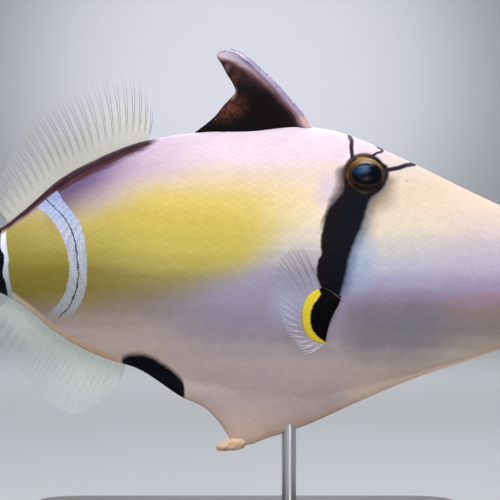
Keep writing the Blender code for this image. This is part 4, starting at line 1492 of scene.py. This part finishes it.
# Rows of small forward-bent spines on the tail stalk, and the blunt pelvic spine

stalkSpines = {
    "rows": ((81.9, 12), (78.3, 14), (74.7, 13)),  # height and count
    "first": -75.4, "apart": 1.12, "sway": (0.25, 2.1),
    "size": (0.62, 0.5), "wide": (0.8, 0.6), "tall": 1.15, "bend": 0.9, "sunk": 0.35,
}


def addStalkSpines(material):
    shape = stalkSpines
    deselectAll()
    bpy.ops.mesh.primitive_cone_add(vertices=8, radius1=0.5, radius2=0.06, depth=1)
    editAll((bpy.ops.mesh.subdivide, {"number_cuts": 2}))
    source = bpy.context.object
    along, up, out = pointsOf(source).T
    out = out + 0.5
    places = []
    for side, _ in sides:
        for row, (height, count) in enumerate(shape["rows"]):
            for k in range(count):
                size = shape["size"][0] + shape["size"][1] * math.sin(math.pi * (k + 0.5) / count)
                x = shape["first"] + (k + 0.5 * (row % 2)) * shape["apart"]
                z = height + shape["sway"][0] * math.sin(k * shape["sway"][1])
                places.append(np.column_stack([
                    x + size * (along * shape["wide"][0] + shape["bend"] * out ** 2),
                    side * (float(flank(x, z)) - shape["sunk"] + out * shape["tall"] * size),
                    z + size * up * shape["wide"][1],
                ]))
    piece = copiesOf("stalkSpines", material, source, places)
    activate(piece)
    editAll(outward)
    handIn(piece, "dark_skin")


pelvicShape = [  # x, z, half width, half height
    (8.4, 27, 0.3, 0.4), (7.4, 26.6, 1.1, 1.5), (5.4, 26.2, 1.45, 1.9), (2.6, 25.7, 1.45, 1.6),
    (0.6, 25.2, 1.1, 1.1), (-0.2, 24.95, 0.6, 0.6), (-0.5, 24.9, 0.02, 0.02),
]


def addPelvicSpine(material):
    def place(u, v):
        x, z, wide, high = alongLine(pelvicShape, u)
        turn = 2 * math.pi * v
        knob = 1 + 0.09 * np.sin(u * 26) * np.sin(turn * 5 + u * 9)
        return np.stack([x, wide * knob * np.sin(turn), z + high * knob * np.cos(turn)], axis=-1)

    spine = addGrid("pelvicSpine", material, 44, 36, place, closeAround=True)
    handIn(spine, "pale_skin", "pelvic_spine")


# Stand

def woodMaterial():
    g = Graph("darkWood", Coat_Roughness=0.3)
    grain = g.noise(5, 5, 0.6, (0.12, 1, 1))
    rings = (g.noise(14, 2, 0.5, (0.1, 1, 1)) * 38).math("SINE") * 0.5 + 0.5
    colour = g.mix(grain, (44, 28, 20), (84, 54, 36))
    colour = g.mix(rings * 0.4, colour, (34, 22, 16))
    return g.finish(
        Base_Color=colour, Roughness=0.34 + 0.16 * grain, Coat_Weight=0.5,
        Normal=g.bump(g.noise(1.2, 5, 0.6, (0.08, 1, 1)), 0.15, 0.05),
    )


def steelMaterial():
    g = Graph("brushedSteel", Metallic=1)
    lines = g.noise(0.35, 3, 0.6, (1, 1, 0.04))
    colour = g.mix(lines, (176, 178, 182), (214, 215, 218))
    return g.finish(Base_Color=colour, Roughness=0.26 + 0.14 * lines, Normal=g.bump(lines, 0.12, 0.02))


def finishStand():
    for node, material in (("stand_base", woodMaterial()), ("stand_rod", steelMaterial())):
        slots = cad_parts[node].material_slots
        for slot in slots:
            slot.material = material


addStudio()
print("studio done")
addSkin()
print("skin done")
coat = skinMaterial("scales", True)
for side, word in sides:
    addScales(side, word, coat)
print("scales done")
gloss, fold = eyeMaterial(), foldMaterial()
for side, word in sides:
    addEye(side, word, gloss, fold)
enamel = mottledMaterial(
    "toothEnamel", ((236, 230, 214), (214, 200, 172)), (0.9, 3), (0.2, 0.15, 0.6),
    lambda g: g.bump(g.noise(0.4, 3), 0.2, 0.03), Coat_Weight=0.5, Coat_Roughness=0.1,
)
addTeeth("Upper", 1, enamel)
addTeeth("Lower", -1, enamel)
addFrontFin()
addPrickles()
rearWeb = webMaterial("dorsalWeb", (198, 196, 187), 0.62, 0.05)
rearRay = rayMaterial("dorsalRay", (112, 108, 108), (100, 98, 104), (0, 0.75, 0.06))
addSoftFin("rear", "rearDorsal", rearWeb, rearRay, "dorsal_fin_rear")
analWeb = webMaterial("analWeb", (194, 204, 196), 0.5, 0.05, 0.2)
analRay = rayMaterial("analRay", (206, 212, 206), (200, 200, 204), (0, 0.6, 0.3), 0.85)
addSoftFin("anal", "anal", analWeb, analRay, "anal_fin")
tailWeb = webMaterial("tailWeb", (196, 196, 190), 0.85, 0.45)
tailRay = rayMaterial("tailRay", (178, 178, 176), (150, 148, 150), (1, 0.95, 0.9))
addTailFin(tailWeb, tailRay)
pectoralWeb = webMaterial("pectoralWeb", (196, 194, 216), 0.12, 0.03)
pectoralRay = pectoralRayMaterial()
rootFinish, lipFinish = lobeMaterial(), gillLipMaterial()
for side, word in sides:
    addPectoralFin(side, word, pectoralWeb, pectoralRay, rootFinish, lipFinish)
print("fins done")
horn = mottledMaterial(
    "stalkSpine", ((14, 16, 24), (44, 46, 58)), (0.9,), (0.3, 0.2, 0.7), Specular_IOR_Level=0.5,
)
addStalkSpines(horn)
bone = mottledMaterial(
    "pelvicBone", ((206, 172, 140), (226, 198, 166)), (1.2, 3), (0.45, 0.15, 0.8),
    lambda g: g.bump(g.cells(0.5), 0.6, 0.1), Specular_IOR_Level=0.4,
)
addPelvicSpine(bone)
finishStand()
print("stand done")
